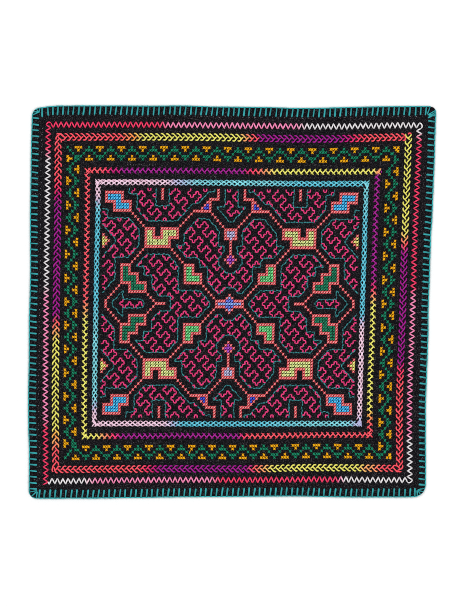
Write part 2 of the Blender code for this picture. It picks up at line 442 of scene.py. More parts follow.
# =====================================================================
# 4  Borders: where their middles run, and how their colours change
# =====================================================================
# name of side: which coordinate runs along it, outward sign, sign of the
# working direction (clockwise)
SIDES = {"top": (0, +1, +1), "right": (1, +1, -1), "bottom": (0, -1, -1), "left": (1, -1, +1)}

# middles of the borders, plan points in mm
LINES = {
    "zigzag": {
        "top": ((-173.5, 166.8), (-159.6, 166.7), (-99.4, 166.7), (-43.0, 166.4), (13.4, 165.8), (79.2, 165.0), (119.6, 165.4), (149.7, 166.0), (175.4, 166.4)),
        "right": ((175.4, 166.4), (175.3, 155.1), (172.8, 98.7), (170.6, 42.3), (168.7, -23.5), (166.3, -89.3), (166.3, -145.7), (166.4, -167.3)),
        "bottom": ((166.4, -167.3), (149.7, -167.3), (79.2, -166.7), (13.4, -167.3), (-43.0, -167.1), (-99.4, -167.5), (-159.6, -168.4), (-175.9, -168.4)),
        "left": ((-175.9, -168.4), (-175.9, -145.7), (-176.1, -89.3), (-175.7, -23.5), (-175.0, 42.3), (-174.2, 98.7), (-173.5, 155.1), (-173.5, 166.8)),
    },
    "feather": {
        "top": ((-164.0, 155.2), (-99.4, 155.2), (-43.0, 155.1), (13.4, 154.3), (79.2, 153.2), (114.9, 153.9), (149.7, 154.9), (165.2, 155.1)),
        "right": ((165.2, 155.1), (163.1, 98.7), (161.1, 42.3), (159.2, -23.5), (156.7, -89.3), (156.7, -145.7), (156.7, -156.4)),
        "bottom": ((156.7, -156.4), (79.2, -155.7), (13.4, -156.8), (-43.0, -156.7), (-99.4, -156.8), (-159.6, -157.4), (-166.5, -157.4)),
        "left": ((-166.5, -157.4), (-166.5, -145.7), (-166.8, -89.3), (-166.1, -23.5), (-165.2, 42.3), (-164.3, 98.7), (-164.0, 155.2)),
    },
    "band": {
        "top": ((-150.3, 139.9), (-99.4, 139.8), (-43.0, 139.8), (13.4, 138.5), (79.2, 137.7), (119.6, 138.6), (150.2, 139.5)),
        "right": ((150.2, 139.5), (149.0, 98.7), (147.2, 42.3), (145.3, -23.5), (143.2, -89.3), (143.0, -140.7)),
        "bottom": ((143.0, -140.7), (79.2, -140.0), (13.4, -141.0), (-43.0, -141.0), (-99.4, -141.2), (-148.3, -141.9), (-153.0, -141.9)),
        "left": ((-153.0, -141.9), (-153.0, -89.3), (-152.4, -23.5), (-151.8, 42.3), (-150.5, 98.7), (-150.3, 139.9)),
    },
    "plait": {
        "top": ((-136.7, 123.8), (-99.4, 123.7), (-43.0, 123.5), (13.4, 122.8), (79.2, 122.4), (136.4, 122.7)),
        "right": ((136.4, 122.7), (135.2, 98.7), (133.1, 42.3), (131.4, -23.5), (128.9, -89.3), (128.8, -125.0)),
        "bottom": ((128.8, -125.0), (79.2, -125.0), (13.4, -126.1), (-43.0, -125.6), (-99.4, -126.1), (-139.6, -126.2)),
        "left": ((-139.6, -126.2), (-139.6, -89.3), (-138.9, -23.5), (-137.5, 42.3), (-136.7, 98.7), (-136.7, 123.8)),
    },
    "chain": {
        "top": ((-126.9, 112.7), (-99.4, 112.6), (-43.0, 112.4), (13.4, 111.8), (79.2, 111.0), (125.5, 111.3)),
        "right": ((125.5, 111.3), (125.1, 98.7), (123.4, 42.3), (121.3, -23.5), (119.6, -89.3), (118.6, -114.3)),
        "bottom": ((118.6, -114.3), (79.2, -114.3), (13.4, -114.5), (-43.0, -114.5), (-99.4, -114.1), (-130.0, -114.3)),
        "left": ((-130.0, -114.3), (-129.9, -89.3), (-129.0, -23.5), (-127.8, 42.3), (-126.6, 98.7), (-126.9, 112.7)),
    },
}

# where a border's thread changes colour: place along the side (mm), colour
STOPS = {
    "zigzag": {
        "top": ((-68.4, "crimson"), (-59.0, "pink"), (59.5, "pink"), (69.5, "white")),
        "right": ((159.8, "white"), (155.2, "rose"), (150.5, "crimson"), (13.9, "crimson"), (5.4, "pink"), (-124.0, "pink"), (-130.5, "white")),
        "bottom": ((104.5, "white"), (101.0, "pink"), (97.0, "crimson"), (-11.5, "crimson"), (-20.5, "pink"), (-129.0, "pink"), (-140.0, "white")),
        "left": ((-118.4, "crimson"), (-110.0, "pink"), (3.8, "pink"), (15.0, "white"), (133.5, "white"), (139.1, "rose"), (145.7, "crimson")),
    },
    "feather": {
        "top": ((-106.0, "coral"), (-92.8, "orange"), (-85.3, "yellow"), (5.9, "yellow"), (12.5, "peach"), (18.1, "coral"), (21.9, "coral"), (25.6, "purple"), (99.0, "purple"), (109.0, "fuchsia"), (116.5, "crimson"), (128.0, "coral")),
        "right": ((157.9, "yellow"), (66.0, "yellow"), (60.2, "peach"), (54.0, "coral"), (47.0, "purple"), (-56.4, "purple"), (-63.9, "crimson"), (-77.1, "coral")),
        "bottom": ((139.5, "coral"), (131.5, "peach"), (124.5, "peach"), (118.8, "yellow"), (37.5, "yellow"), (29.0, "peach"), (20.5, "coral"), (13.5, "purple"), (-67.5, "purple"), (-74.0, "fuchsia"), (-81.0, "crimson"), (-89.1, "coral")),
        "left": ((-140.0, "coral"), (-132.0, "peach"), (-126.0, "orange"), (-119.0, "yellow"), (-36.7, "yellow"), (-28.1, "peach"), (-18.6, "coral"), (-12.0, "purple"), (92.0, "purple"), (100.5, "fuchsia"), (107.5, "crimson"), (118.0, "coral")),
    },
    "plait": {
        "top": ((-124.0, "coral"), (-118.0, "crimson"), (-113.5, "fuchsia"), (-108.0, "fuchsia"), (-103.5, "purple"), (8.9, "purple"), (17.4, "crimson"), (24.0, "coral"), (31.5, "peach"), (40.9, "yellow"), (131.5, "yellow"), (136.5, "peach")),
        "right": ((21.6, "purple"), (11.3, "crimson"), (2.8, "peach"), (-2.8, "yellow"), (-100.6, "yellow"), (-107.2, "orange"), (-114.7, "coral")),
        "bottom": ((16.2, "coral"), (9.6, "crimson"), (4.9, "purple"), (-105.0, "purple"), (-113.5, "crimson"), (-122.9, "peach"), (-128.5, "yellow")),
        "left": ((-17.0, "yellow"), (-7.5, "peach"), (3.5, "coral")),
    },
    "chain": {
        "top": ((-61.8, "blush"), (-51.5, "lavender"), (-32.7, "aqua"), (27.5, "aqua"), (63.2, "cyan"), (119.0, "cyan"), (126.0, "aqua")),
        "right": ((110.0, "aqua"), (67.7, "cyan"), (-13.2, "cyan"), (-17.9, "lavender"), (-23.5, "blush"), (-106.2, "blush"), (-111.9, "lavender")),
        "bottom": ((117.0, "lavender"), (108.0, "aqua"), (72.6, "aqua"), (25.6, "cyan"), (-49.6, "cyan"), (-57.1, "lavender"), (-64.6, "blush")),
        "left": ((-103.4, "blush"), (-98.7, "lavender"), (-90.2, "aqua"), (-30.1, "aqua"), (1.9, "cyan"), (84.6, "cyan"), (89.5, "aqua"), (94.5, "lavender"), (99.5, "blush")),
    },
}


# the embroidery lies a little to one side of the cloth's middle (mm)
WORK_X = 0.67


def on_cloth(points):
    return np.asarray(points, float) + np.array([WORK_X, 0.0])


def through(table, a):
    """Smooth curve through (place, value) rows, straight beyond its ends."""
    rows = sorted(table)
    xs = np.array([r[0] for r in rows], float)
    ys = np.array([r[1] for r in rows], float)
    keep = np.concatenate([[True], np.diff(xs) > 0.5])
    xs, ys = xs[keep], ys[keep]
    slopes = np.diff(ys) / np.diff(xs)
    m = np.concatenate([[slopes[0]], 0.5 * (slopes[1:] + slopes[:-1]), [slopes[-1]]])
    a = np.asarray(a, float)
    i = np.clip(np.searchsorted(xs, a) - 1, 0, len(xs) - 2)
    h = xs[i + 1] - xs[i]
    f = np.clip((a - xs[i]) / h, 0.0, 1.0)
    out = ((2 * f ** 3 - 3 * f ** 2 + 1) * ys[i] + (f ** 3 - 2 * f ** 2 + f) * h * m[i]
           + (-2 * f ** 3 + 3 * f ** 2) * ys[i + 1] + (f ** 3 - f ** 2) * h * m[i + 1])
    out = np.where(a < xs[0], ys[0] + (a - xs[0]) * m[0], out)
    return np.where(a > xs[-1], ys[-1] + (a - xs[-1]) * m[-1], out)


def place(row, side, a, q):
    """Plan point at place a along a side of a border, q mm outward of its middle."""
    axis, outward, _ = SIDES[side]
    table = LINES[row][side]
    if axis == 1:
        table = [(y, x) for x, y in table]
    a = np.asarray(a, float)
    across = through(table, a) + outward * np.asarray(q, float)
    return on_cloth(np.stack([a, across] if axis == 0 else [across, a], axis=-1))


def ends(row, side):
    """Where a side of a border starts and ends, in working order."""
    axis = SIDES[side][0]
    return LINES[row][side][0][axis], LINES[row][side][-1][axis]


def tint_at(row, side, a):
    stops = sorted(STOPS[row][side])
    xs = np.array([s[0] for s in stops])
    table = np.array([COLOURS[s[1]] for s in stops])
    return np.stack([np.interp(a, xs, table[:, k]) for k in range(3)], axis=-1)


# ---------------------------------------------------------- row 1: zigzag
ZIGZAG_HALF = {"top": 2.85, "right": 2.6, "bottom": 2.8, "left": 2.55}
ZIGZAG_YARN = 1.36


# where each side's first and last points lie (mm along it), and on which edge of the row
ZIGZAG_ENDS = {
    "top": ((-168.9, "in"), (172.7, "in")), "right": ((161.0, "in"), (-164.4, "in")),
    "bottom": ((161.7, "in"), (-172.3, "out")), "left": ((-171.9, "out"), (163.7, "in")),
}
# the turn at each corner: a straight stitch, a rounded one, a straight one
ZIGZAG_TURNS = (
    ("crimson", ((-168.9, 164.0), (-171.1, 168.4)), ((-171.1, 168.4), (-172.5, 169.1), (-174.0, 168.5), (-175.4, 166.6)), ((-175.4, 166.6), (-171.2, 163.7))),
    ("white", ((172.7, 163.5), (175.5, 168.5)), ((175.5, 168.5), (177.3, 167.3), (178.1, 165.2), (177.2, 163.2)), ((177.2, 163.2), (173.0, 161.0))),
    ("white", ((161.7, -164.6), (164.4, -169.7)), ((164.4, -169.7), (166.3, -169.8), (168.1, -168.5), (168.9, -167.0)), ((168.9, -167.0), (164.1, -164.4))),
    ("white", ((-173.9, -168.8), (-172.3, -171.4)), None, None),
)


def zigzag(piece):
    for side, (axis, outward, sign) in SIDES.items():
        (a0, first), (a1, last) = ZIGZAG_ENDS[side]
        half = 0.5 * (5.01 if axis == 0 else 5.62)
        odd = 0 if first == last else 1
        count = 2 * int(round(0.5 * (abs(a1 - a0) / half - odd))) + odd
        k = np.arange(count + 1)
        a = a0 + (a1 - a0) * k / count
        outer = (k % 2 == 1) if first == "in" else (k % 2 == 0)
        p = place("zigzag", side, a, np.where(outer, ZIGZAG_HALF[side], -ZIGZAG_HALF[side]))
        straight(piece, p[:-1], p[1:], tint_at("zigzag", side, 0.5 * (a[1:] + a[:-1])), ZIGZAG_YARN, KEY_LIFT, wobble=0.14, ramp=KEY_PAINTED_LIGHT, full=KEY_FULL, pale=0.08)
    for name, lead, bend, tail in ZIGZAG_TURNS:
        for leg in (lead, tail):
            if leg is not None:
                p = on_cloth(leg)
                straight(piece, p[:1], p[1:], COLOURS[name], ZIGZAG_YARN, KEY_LIFT, ramp=KEY_PAINTED_LIGHT, full=KEY_FULL)
        if bend is not None:
            curved(piece, on_cloth(bend)[None], COLOURS[name], ZIGZAG_YARN, lambda u: 0.44 - 0.62 * np.abs(2 * u - 1) ** 8, rings=8)


# --------------------------------------------------------- row 2: feather
FEATHER_OUTER = np.array([(-0.1, 3.00), (1.0, 3.25), (2.15, 2.60), (3.3, 1.25), (4.5, 0.0), (5.5, -1.15)])
FEATHER_INNER = np.array([(2.1, -2.80), (3.4, -3.20), (4.65, -2.70), (5.35, -1.45), (6.25, -0.35), (7.7, 0.75)])
FEATHER_YARN = 1.50
FEATHER_REACH = {"top": 0.95, "right": 0.86, "bottom": 0.90, "left": 0.88}


# strokes that carry the row round its corners
FEATHER_TURNS = (
    ("coral", ((-165.8, 157.9), (-164.1, 158.3), (-162.1, 158.0), (-160.5, 156.6), (-158.8, 155.1))),
    ("coral", ((-166.2, 152.4), (-166.1, 154.2), (-165.2, 155.8), (-163.6, 157.0), (-162.2, 157.5))),
    ("coral", ((159.7, 152.0), (161.5, 152.1), (162.3, 153.7), (162.0, 155.5))),
    ("yellow", ((162.5, 158.1), (162.6, 156.4), (163.7, 154.8), (165.3, 153.6), (166.6, 152.3))),
    ("yellow", ((168.0, 157.7), (167.2, 156.3), (166.1, 155.2), (164.9, 154.3))),
    ("coral", ((165.0, 157.7), (165.6, 158.6), (166.6, 158.8), (167.8, 158.0))),
    ("coral", ((159.5, -153.1), (159.7, -154.9), (158.6, -156.6), (156.7, -157.5), (155.0, -158.1))),
    ("coral", ((158.5, -159.3), (156.9, -159.5), (155.3, -159.1), (153.8, -158.1))),
    ("coral", ((-164.6, -160.6), (-166.0, -160.2), (-167.0, -158.8), (-167.5, -156.9), (-168.0, -155.0))),
    ("coral", ((-168.9, -159.6), (-169.7, -158.5), (-169.6, -156.6), (-168.6, -154.7))),
)


def feather(piece):
    for side, (axis, outward, sign) in SIDES.items():
        start, end = ends("feather", side)
        period = 5.03 if axis == 0 else 5.72
        stretch = period / 5.03
        a0, a1 = start + sign * 1.0, end - sign * 2.0
        count = int(round(abs(a1 - a0) / period))
        first = a0 + (a1 - a0) * np.arange(count) / count
        for shape, lift in ((FEATHER_OUTER, lambda u: 0.62 - 0.30 * u - 0.85 * np.abs(2 * u - 1) ** 8),
                            (FEATHER_INNER, lambda u: 0.66 - 0.30 * u - 0.85 * np.abs(2 * u - 1) ** 8)):
            if side == "top" and shape is FEATHER_INNER:
                first, count = first[:-1], count - 1
            a = first[:, None] + sign * stretch * shape[None, :, 0] + RNG.normal(0, 0.10, (count, 1))
            q = FEATHER_REACH[side] * shape[None, :, 1] * (1 + RNG.normal(0, 0.04, (count, 1)))
            paths = place("feather", side, a, q)
            curved(piece, paths, tint_at("feather", side, a.mean(axis=1)), FEATHER_YARN, lift, rings=8)
    for name, path in FEATHER_TURNS:
        curved(piece, on_cloth(path)[None], COLOURS[name], FEATHER_YARN, lambda u: 0.60 - 0.20 * u - 0.80 * np.abs(2 * u - 1) ** 8, rings=8)


# ------------------------------------------------------ row 3: trellis band
# outer triangles' places along each side (mm), clockwise
BAND_MARKS = {
    "top": (-145.1, -125.0, -104.7, -84.7, -64.7, -44.6, -24.6, -4.7, 14.6, 34.3, 54.5, 74.8, 94.7, 114.6, 134.5, 154.1),
    "right": (145.0, 122.7, 99.5, 77.1, 54.5, 32.0, 9.4, -12.9, -35.2, -57.3, -79.4, -101.9, -124.4, -146.6),
    "bottom": (147.6, 128.3, 108.4, 88.6, 68.9, 49.0, 29.2, 9.4, -9.8, -29.1, -48.3, -68.7, -89.1, -108.8, -128.5, -147.8),
    "left": (-155.3, -133.0, -110.9, -88.6, -66.5, -44.1, -21.7, 0.4, 22.5, 45.1, 67.7, 91.2, 114.1, 135.4),
}
# rows from the outermost; columns of an eight-stitch repeat whose outer triangle is at 4
TRELLIS = ((0, 0), (1, -1), (1, 0), (1, 1), (2, -2), (2, 2), (3, 3), (3, 4), (3, 5), (4, 4))
TRIANGLES = ((0, 3), (0, 4), (0, 5), (1, 4), (3, 0), (4, -1), (4, 0), (4, 1))
BAND_ROW = {"top": 2.80, "right": 2.47, "bottom": 2.76, "left": 2.48}
BAND_YARN = {"top": 0.95, "right": 1.0, "bottom": 0.98, "left": 1.0}


def band_cell(side, k, row, half=0.5):
    """Corners of one cross; k counts stitches from the side's first outer triangle."""
    marks = np.array(BAND_MARKS[side])
    sign = SIDES[side][2]
    where = np.interp
    index = np.arange(len(marks)) * 8.0

    def at(x):
        x = np.asarray(x, float)
        mid = where(x, index, marks)
        mid = np.where(x < 0, marks[0] + x * (marks[1] - marks[0]) / 8.0, mid)
        return np.where(x > index[-1], marks[-1] + (x - index[-1]) * (marks[-1] - marks[-2]) / 8.0, mid)

    lo, hi = at(k - half), at(k + half)
    if sign < 0:
        lo, hi = hi, lo
    pitch = BAND_ROW[side]
    q_out = (2 - row + half) * pitch
    q_in = (2 - row - half) * pitch
    p = [place("band", side, lo, q_in), place("band", side, hi, q_in), place("band", side, hi, q_out), place("band", side, lo, q_out)]
    return np.stack(p, axis=-2)


def band(green, orange):
    for side in SIDES:
        repeats = len(BAND_MARKS[side])
        cells = {}
        for r in range(-1, repeats):
            for row, col in TRELLIS:
                cells[(8 * r + col + 4, row)] = "trellis"
            for row, col in TRIANGLES:
                cells[(8 * r + col + 4, row)] = "marigold"
        first, last = BAND_RANGE[side]
        for piece, name in ((green, "trellis"), (orange, "marigold")):
            chosen = sorted(key for key, v in cells.items() if v == name and keep_band(side, key[0], key[1]) and not left_out(side, name, *key))
            if not chosen:
                continue
            k = np.array([c[0] for c in chosen], float)
            row = np.array([c[1] for c in chosen], float)
            crosses(piece, band_cell(side, k, row, 0.49 if name == "trellis" else 0.445), COLOURS[name], width=(1.08 if name == "trellis" else 1.18) * BAND_YARN[side], slope=-1, wobble=0.12)
    for piece, name, rows in ((green, "trellis", BAND_TURNS_GREEN), (orange, "marigold", BAND_TURNS_ORANGE)):
        x, y, w, h = np.array(rows, float).T
        corners = np.stack([np.stack([x - w, y - h], axis=-1), np.stack([x + w, y - h], axis=-1), np.stack([x + w, y + h], axis=-1), np.stack([x - w, y + h], axis=-1)], axis=1)
        crosses(piece, on_cloth(corners), COLOURS[name], width=1.32 if name == "trellis" else 1.20, slope=-1, wobble=0.12)
    # one long stitch was carried over the trellis
    straight(orange, on_cloth([(-39.6, -138.9)]), on_cloth([(-41.2, -143.3)]), COLOURS["marigold"], 0.8, SINGLE)


# crosses at the corners that don't follow the repeat: middle, half width, half height (mm)
BAND_TURNS_GREEN = ((-152.5, -140.0, 1.2, 1.7), (-154.9, -143.2, 1.2, 1.7), (-157.3, -146.4, 1.2, 1.6), (-147.8, -136.3, 1.2, 1.3))
BAND_TURNS_ORANGE = (
    (152.4, 145.0, 1.3, 1.3), (155.6, 145.0, 1.3, 1.3), (155.3, 141.9, 1.2, 1.3), (153.9, 143.3, 1.2, 1.2),
    (-155.1, 136.9, 1.2, 1.3), (-154.0, 135.1, 1.2, 1.2), (-154.9, 133.1, 1.2, 1.3), (-151.9, 134.9, 1.3, 0.9),
    (147.4, -143.5, 1.2, 1.3), (145.2, -146.1, 1.2, 1.2), (148.0, -146.1, 1.2, 1.2), (137.9, -138.3, 1.2, 1.3),
)


def left_out(side, name, k, row):
    """Crosses of the repeat that a corner does without."""
    if side == "right":
        return (k <= 1 and (name == "marigold" or row >= 3)) or (name == "marigold" and row >= 3 and 3 <= k <= 5)
    if side == "top":
        return name == "marigold" and k >= 119 and row <= 1
    if side == "left":
        return (name == "marigold" and k >= 103 and row <= 1) or (name == "trellis" and k <= 6)
    return (name == "marigold" and ((k <= 1 and row <= 1) or (row >= 3 and 3 <= k <= 5))) or (name == "trellis" and k >= 122)


# stitches kept on each side, by place along it (mm)
BAND_RANGE = {"top": (-152.0, 152.5), "right": (150.0, -142.0), "bottom": (148.5, -152.5), "left": (-142.0, 139.0)}


def keep_band(side, k, row):
    lo, hi = sorted(BAND_RANGE[side])
    marks = np.array(BAND_MARKS[side])
    step = (marks[1] - marks[0]) / 8.0
    x = marks[0] + k * step if k < 0 else np.interp(k, np.arange(len(marks)) * 8.0, marks)
    if k > (len(marks) - 1) * 8:
        x = marks[-1] + (k - (len(marks) - 1) * 8) * (marks[-1] - marks[-2]) / 8.0
    # each side gives way to its neighbour along the corner's diagonal
    depth = (2 - row) * BAND_ROW[side]
    return lo - depth * (1 if side in ("top", "bottom", "left", "right") else 0) <= x <= hi + depth


# ----------------------------------------------------- row 4: herringbone
# painted light and shade along a herringbone stroke: lighter where it lies over its crossing, darker at its ends
START_PAINTED_LIGHT = np.array([0.50, 0.92, 1.24, 1.22, 1.10, 0.98, 0.72])
MESH_PAINTED_LIGHT = np.array([0.62, 0.94, 1.30, 1.12, 1.06, 0.88, 0.66])


def herringbone(piece, row, half, span, shift, yarn, period_x, period_y, drop, loose=0.14, pale=0.10, short=0.0, squeeze=None, ramp=START_PAINTED_LIGHT, trim=None):
    """Crossing strokes along both edges of a row. short cuts the start of each; squeeze moves the crossings outward."""
    for side, (axis, outward, sign) in SIDES.items():
        start, end = ends(row, side)
        period = period_x if axis == 0 else period_y
        h = half[side]
        a0, a1 = start - sign * h * 0.8, end + sign * h * 0.8
        count = int(round(abs(a1 - a0) / period))
        step = (a1 - a0) / count
        k = np.arange(-2, count + 2)
        up_a = a0 + step * k
        up_b = up_a + step * span
        down_a = a0 + step * (k + shift)
        down_b = down_a + step * span
        cut = (trim or {}).get(side, 0.0)
        lo, hi = sorted((start - sign * (h - cut), end + sign * h))
        for a, b, q0, q1 in ((up_a, up_b, -h, h), (down_a, down_b, h, -h)):
            keep = (np.minimum(a, b) > lo - 0.7) & (np.maximum(a, b) < hi + 0.7)
            a, b = a[keep], b[keep]
            n = len(a)
            a = a + short * (b - a) + RNG.normal(0.0, loose, n)
            b = b + RNG.normal(0.0, loose, n)
            qa = np.full(n, q0 + short * (q1 - q0)) + RNG.normal(0.0, 0.6 * loose, n)
            qb = np.full(n, q1) + RNG.normal(0.0, 0.6 * loose, n)
            share = RINGS[None, :]
            place_at = a[:, None] + (b - a)[:, None] * share
            q = qa[:, None] + (qb - qa)[:, None] * share
            if squeeze is not None:
                q = q + squeeze(side, place_at) * np.clip(1.0 - (q / h) ** 2, 0.0, 1.0)
            xy = place(row, side, place_at, q)
            z = top_mm(xy[..., 0], xy[..., 1]) + drop[None, :] * (1.0 + RNG.normal(0.0, 0.06, (n, 1)))
            size = yarn * (1.0 + RNG.normal(0.0, 0.05, (n, 1)))
            tone = 1.0 + RNG.normal(0.0, 0.05, (n, 1))
            piece.add(np.concatenate([xy, z[..., None]], axis=2), 0.5 * size * TAIL_FULL[None, :], 0.42 * size * TAIL_FULL[None, :],
                      tint_at(row, side, 0.5 * (a + b)) * tone, ramp, pale)


MESH_HALF = {"top": 2.74, "right": 2.34, "bottom": 2.62, "left": 2.40}
PLAIT_HALF = {"top": 2.84, "right": 2.7, "bottom": 2.84, "left": 2.6}
PLAIT_TURNS = (("peach", (139.4, 125.7), (136.4, 120.5)), ("peach", (135.0, 123.0), (139.0, 119.9)), ("purple", (139.7, 123.2), (139.5, 121.6)))
# strands that fill the frame's corners
FRAME_TURNS = (
    ("blush", (-129.3, 115.6), (-125.7, 111.1)), ("blush", (-129.0, 113.7), (-126.9, 110.4)), ("blush", (-126.3, 113.0), (-122.7, 115.2)),
    ("blush", (-125.5, 110.6), (-122.5, 113.0)), ("blush", (-128.4, 107.7), (-125.9, 110.4)),
    ("aqua", (123.9, 110.4), (128.5, 114.3)), ("cyan", (123.8, 113.8), (128.0, 110.4)), ("aqua", (126.9, 113.6), (124.5, 108.5)), ("aqua", (128.4, 112.2), (125.6, 107.9)),
    ("blush", (-132.5, -117.1), (-128.4, -112.6)), ("blush", (-132.1, -111.4), (-127.8, -116.6)), ("blush", (-130.0, -117.1), (-126.2, -113.3)),
    ("lavender", (117.0, -112.6), (121.4, -117.1)), ("lavender", (117.4, -116.9), (120.7, -111.5)), ("lavender", (119.1, -116.9), (121.1, -113.3)),
    ("lavender", (119.1, -110.7), (121.1, -116.1)),
)


def corner_strokes(piece, rows, yarn, ramp, pale):
    for name, a, b in rows:
        straight(piece, on_cloth([a]), on_cloth([b]), COLOURS[name], yarn, OVER_LEG, ramp=ramp, full=TAIL_FULL, pale=pale)


def plait(piece):
    herringbone(piece, "plait", PLAIT_HALF, 1.03, 0.53, 1.34, 5.03, 5.64, FIRST_HIGH, loose=0.17, pale=0.03, short=0.09, trim={"right": 3.0})
    corner_strokes(piece, PLAIT_TURNS, 1.34, START_PAINTED_LIGHT, 0.06)


def mesh_squeeze(side, a):
    """How far the frame's crossings lie outward of even ones (mm): most where the work was started."""
    if side == "top":
        return 0.12 + 0.26 * np.clip((-62.0 - a) / 25.0, 0.0, 1.0)
    if side == "bottom":
        return 0.16 + 0.20 * np.clip((-70.0 - a) / 25.0, 0.0, 1.0)
    return 0.10 + 0.0 * a


def frame_mesh(piece):
    herringbone(piece, "chain", MESH_HALF, 1.5, -0.5, 1.36, 5.03, 5.64, FIRST_HIGH, loose=0.17, pale=0.24, squeeze=mesh_squeeze, ramp=MESH_PAINTED_LIGHT)
    # the thread's short backs, seen through some of the outer holes
    for side, (axis, outward, sign) in SIDES.items():
        start, end = ends("chain", side)
        h = MESH_HALF[side]
        a0, a1 = start - sign * h * 0.8, end + sign * h * 0.8
        count = int(round(abs(a1 - a0) / (5.03 if axis == 0 else 5.64)))
        step = (a1 - a0) / count
        a = a0 + step * (np.arange(1, count - 1) + 0.5)
        full = side == "top"
        near = np.clip((-62.0 - a) / 25.0, 0.0, 1.0) if full else np.zeros(len(a))
        seen = RNG.uniform(0.0, 1.0, len(a)) < (0.72 if full else 0.48) + 0.5 * near
        a, near = a[seen], near[seen]
        q = h / 3.0 + mesh_squeeze(side, a)
        p0 = place("chain", side, a - step * 0.26, q - 0.62)
        p1 = place("chain", side, a + step * 0.26, q + 0.62)
        # painted shade: the backs lie down in the holes, so their thread's colour is darkened to 0.30–0.50 of it, and
        # up to 0.95 of it where the work was started
        tone = (0.30 + 0.20 * RNG.uniform(0.0, 1.0, len(a)) + 0.45 * near)[:, None]
        straight(piece, p0, p1, tint_at("chain", side, a) * tone, 1.10, SINGLE * 0.6, wobble=0.12, ramp=KEY_PAINTED_LIGHT)
    corner_strokes(piece, FRAME_TURNS, 1.20, MESH_PAINTED_LIGHT, 0.20)


# =====================================================================
# 5  The centre panel, charted on its own stitch grid
# =====================================================================
CELL_X, CELL_Y = 2.4816, 2.8426
PANEL_X, PANEL_Y = -2.115, -1.88
WARP_ROWS = (-38, -25, -12, 0, 12, 25, 38)
WARP_COLS = (-50, -25, 0, 25, 50)
# the worked grid's drift from a true one, mm to +X
DRIFT_X = (
    (0.0, 0.9, 1.2, 1.4, 2.6),
    (-0.3, 0.0, 0.3, 0.2, 0.4),
    (-0.5, -0.8, -0.2, -0.8, -0.6),
    (-0.8, -0.5, -1.1, -1.2, -1.2),
    (-1.4, -1.5, -2.0, -2.4, -2.4),
    (-2.2, -2.4, -2.4, -3.3, -3.9),
    (-2.8, -2.9, -2.9, -3.5, -3.7),
)
# and towards the foot edge
DRIFT_Y = (
    (0.0, 0.3, 1.4, 1.7, 1.8),
    (0.0, 0.0, 1.3, 1.4, 1.6),
    (0.0, 0.0, 1.1, 0.9, 0.9),
    (-0.5, -0.5, 0.0, 0.0, 0.0),
    (-1.4, -1.2, -0.8, -1.1, -1.1),
    (-1.9, -1.9, -2.0, -1.4, -1.9),
    (-2.6, -2.3, -2.4, -2.4, -2.2),
)


def drift(table, c, r):
    table = np.array(table, float)
    c = np.clip(np.asarray(c, float), WARP_COLS[0], WARP_COLS[-1])
    r = np.clip(np.asarray(r, float), WARP_ROWS[0], WARP_ROWS[-1])
    cols, rows = np.array(WARP_COLS, float), np.array(WARP_ROWS, float)
    i = np.clip(np.searchsorted(cols, c) - 1, 0, len(cols) - 2)
    j = np.clip(np.searchsorted(rows, r) - 1, 0, len(rows) - 2)
    u = (c - cols[i]) / (cols[i + 1] - cols[i])
    v = (r - rows[j]) / (rows[j + 1] - rows[j])
    return ((table[j, i] * (1 - u) + table[j, i + 1] * u) * (1 - v)
            + (table[j + 1, i] * (1 - u) + table[j + 1, i + 1] * u) * v)


def grid_point(c, r):
    """Plan point of a place on the grid; whole numbers are cell middles, rows count towards the foot."""
    c, r = np.asarray(c, float), np.asarray(r, float)
    x = PANEL_X + CELL_X * c + drift(DRIFT_X, c, r)
    y = PANEL_Y - CELL_Y * r - drift(DRIFT_Y, c, r)
    return on_cloth(np.stack([x, y], axis=-1))


def hole(i, j):
    """Corner between cells: hole (0, 0) is at the upper left of cell (0, 0)."""
    return grid_point(np.asarray(i, float) - 0.5, np.asarray(j, float) - 0.5)


def span(c0, c1, r0, r1):
    return {(c, r) for c in range(c0, c1 + 1) for r in range(r0, r1 + 1)}


def moved(cells, dc, dr):
    return {(c + dc, r + dr) for c, r in cells}


def slant(c0, r0, c1, r1):
    n = abs(c1 - c0)
    return {(c0 + (k if c1 > c0 else -k), r0 + (k if r1 > r0 else -k)) for k in range(n + 1)}


def union(*sets):
    out = set()
    for s in sets:
        out |= s
    return out


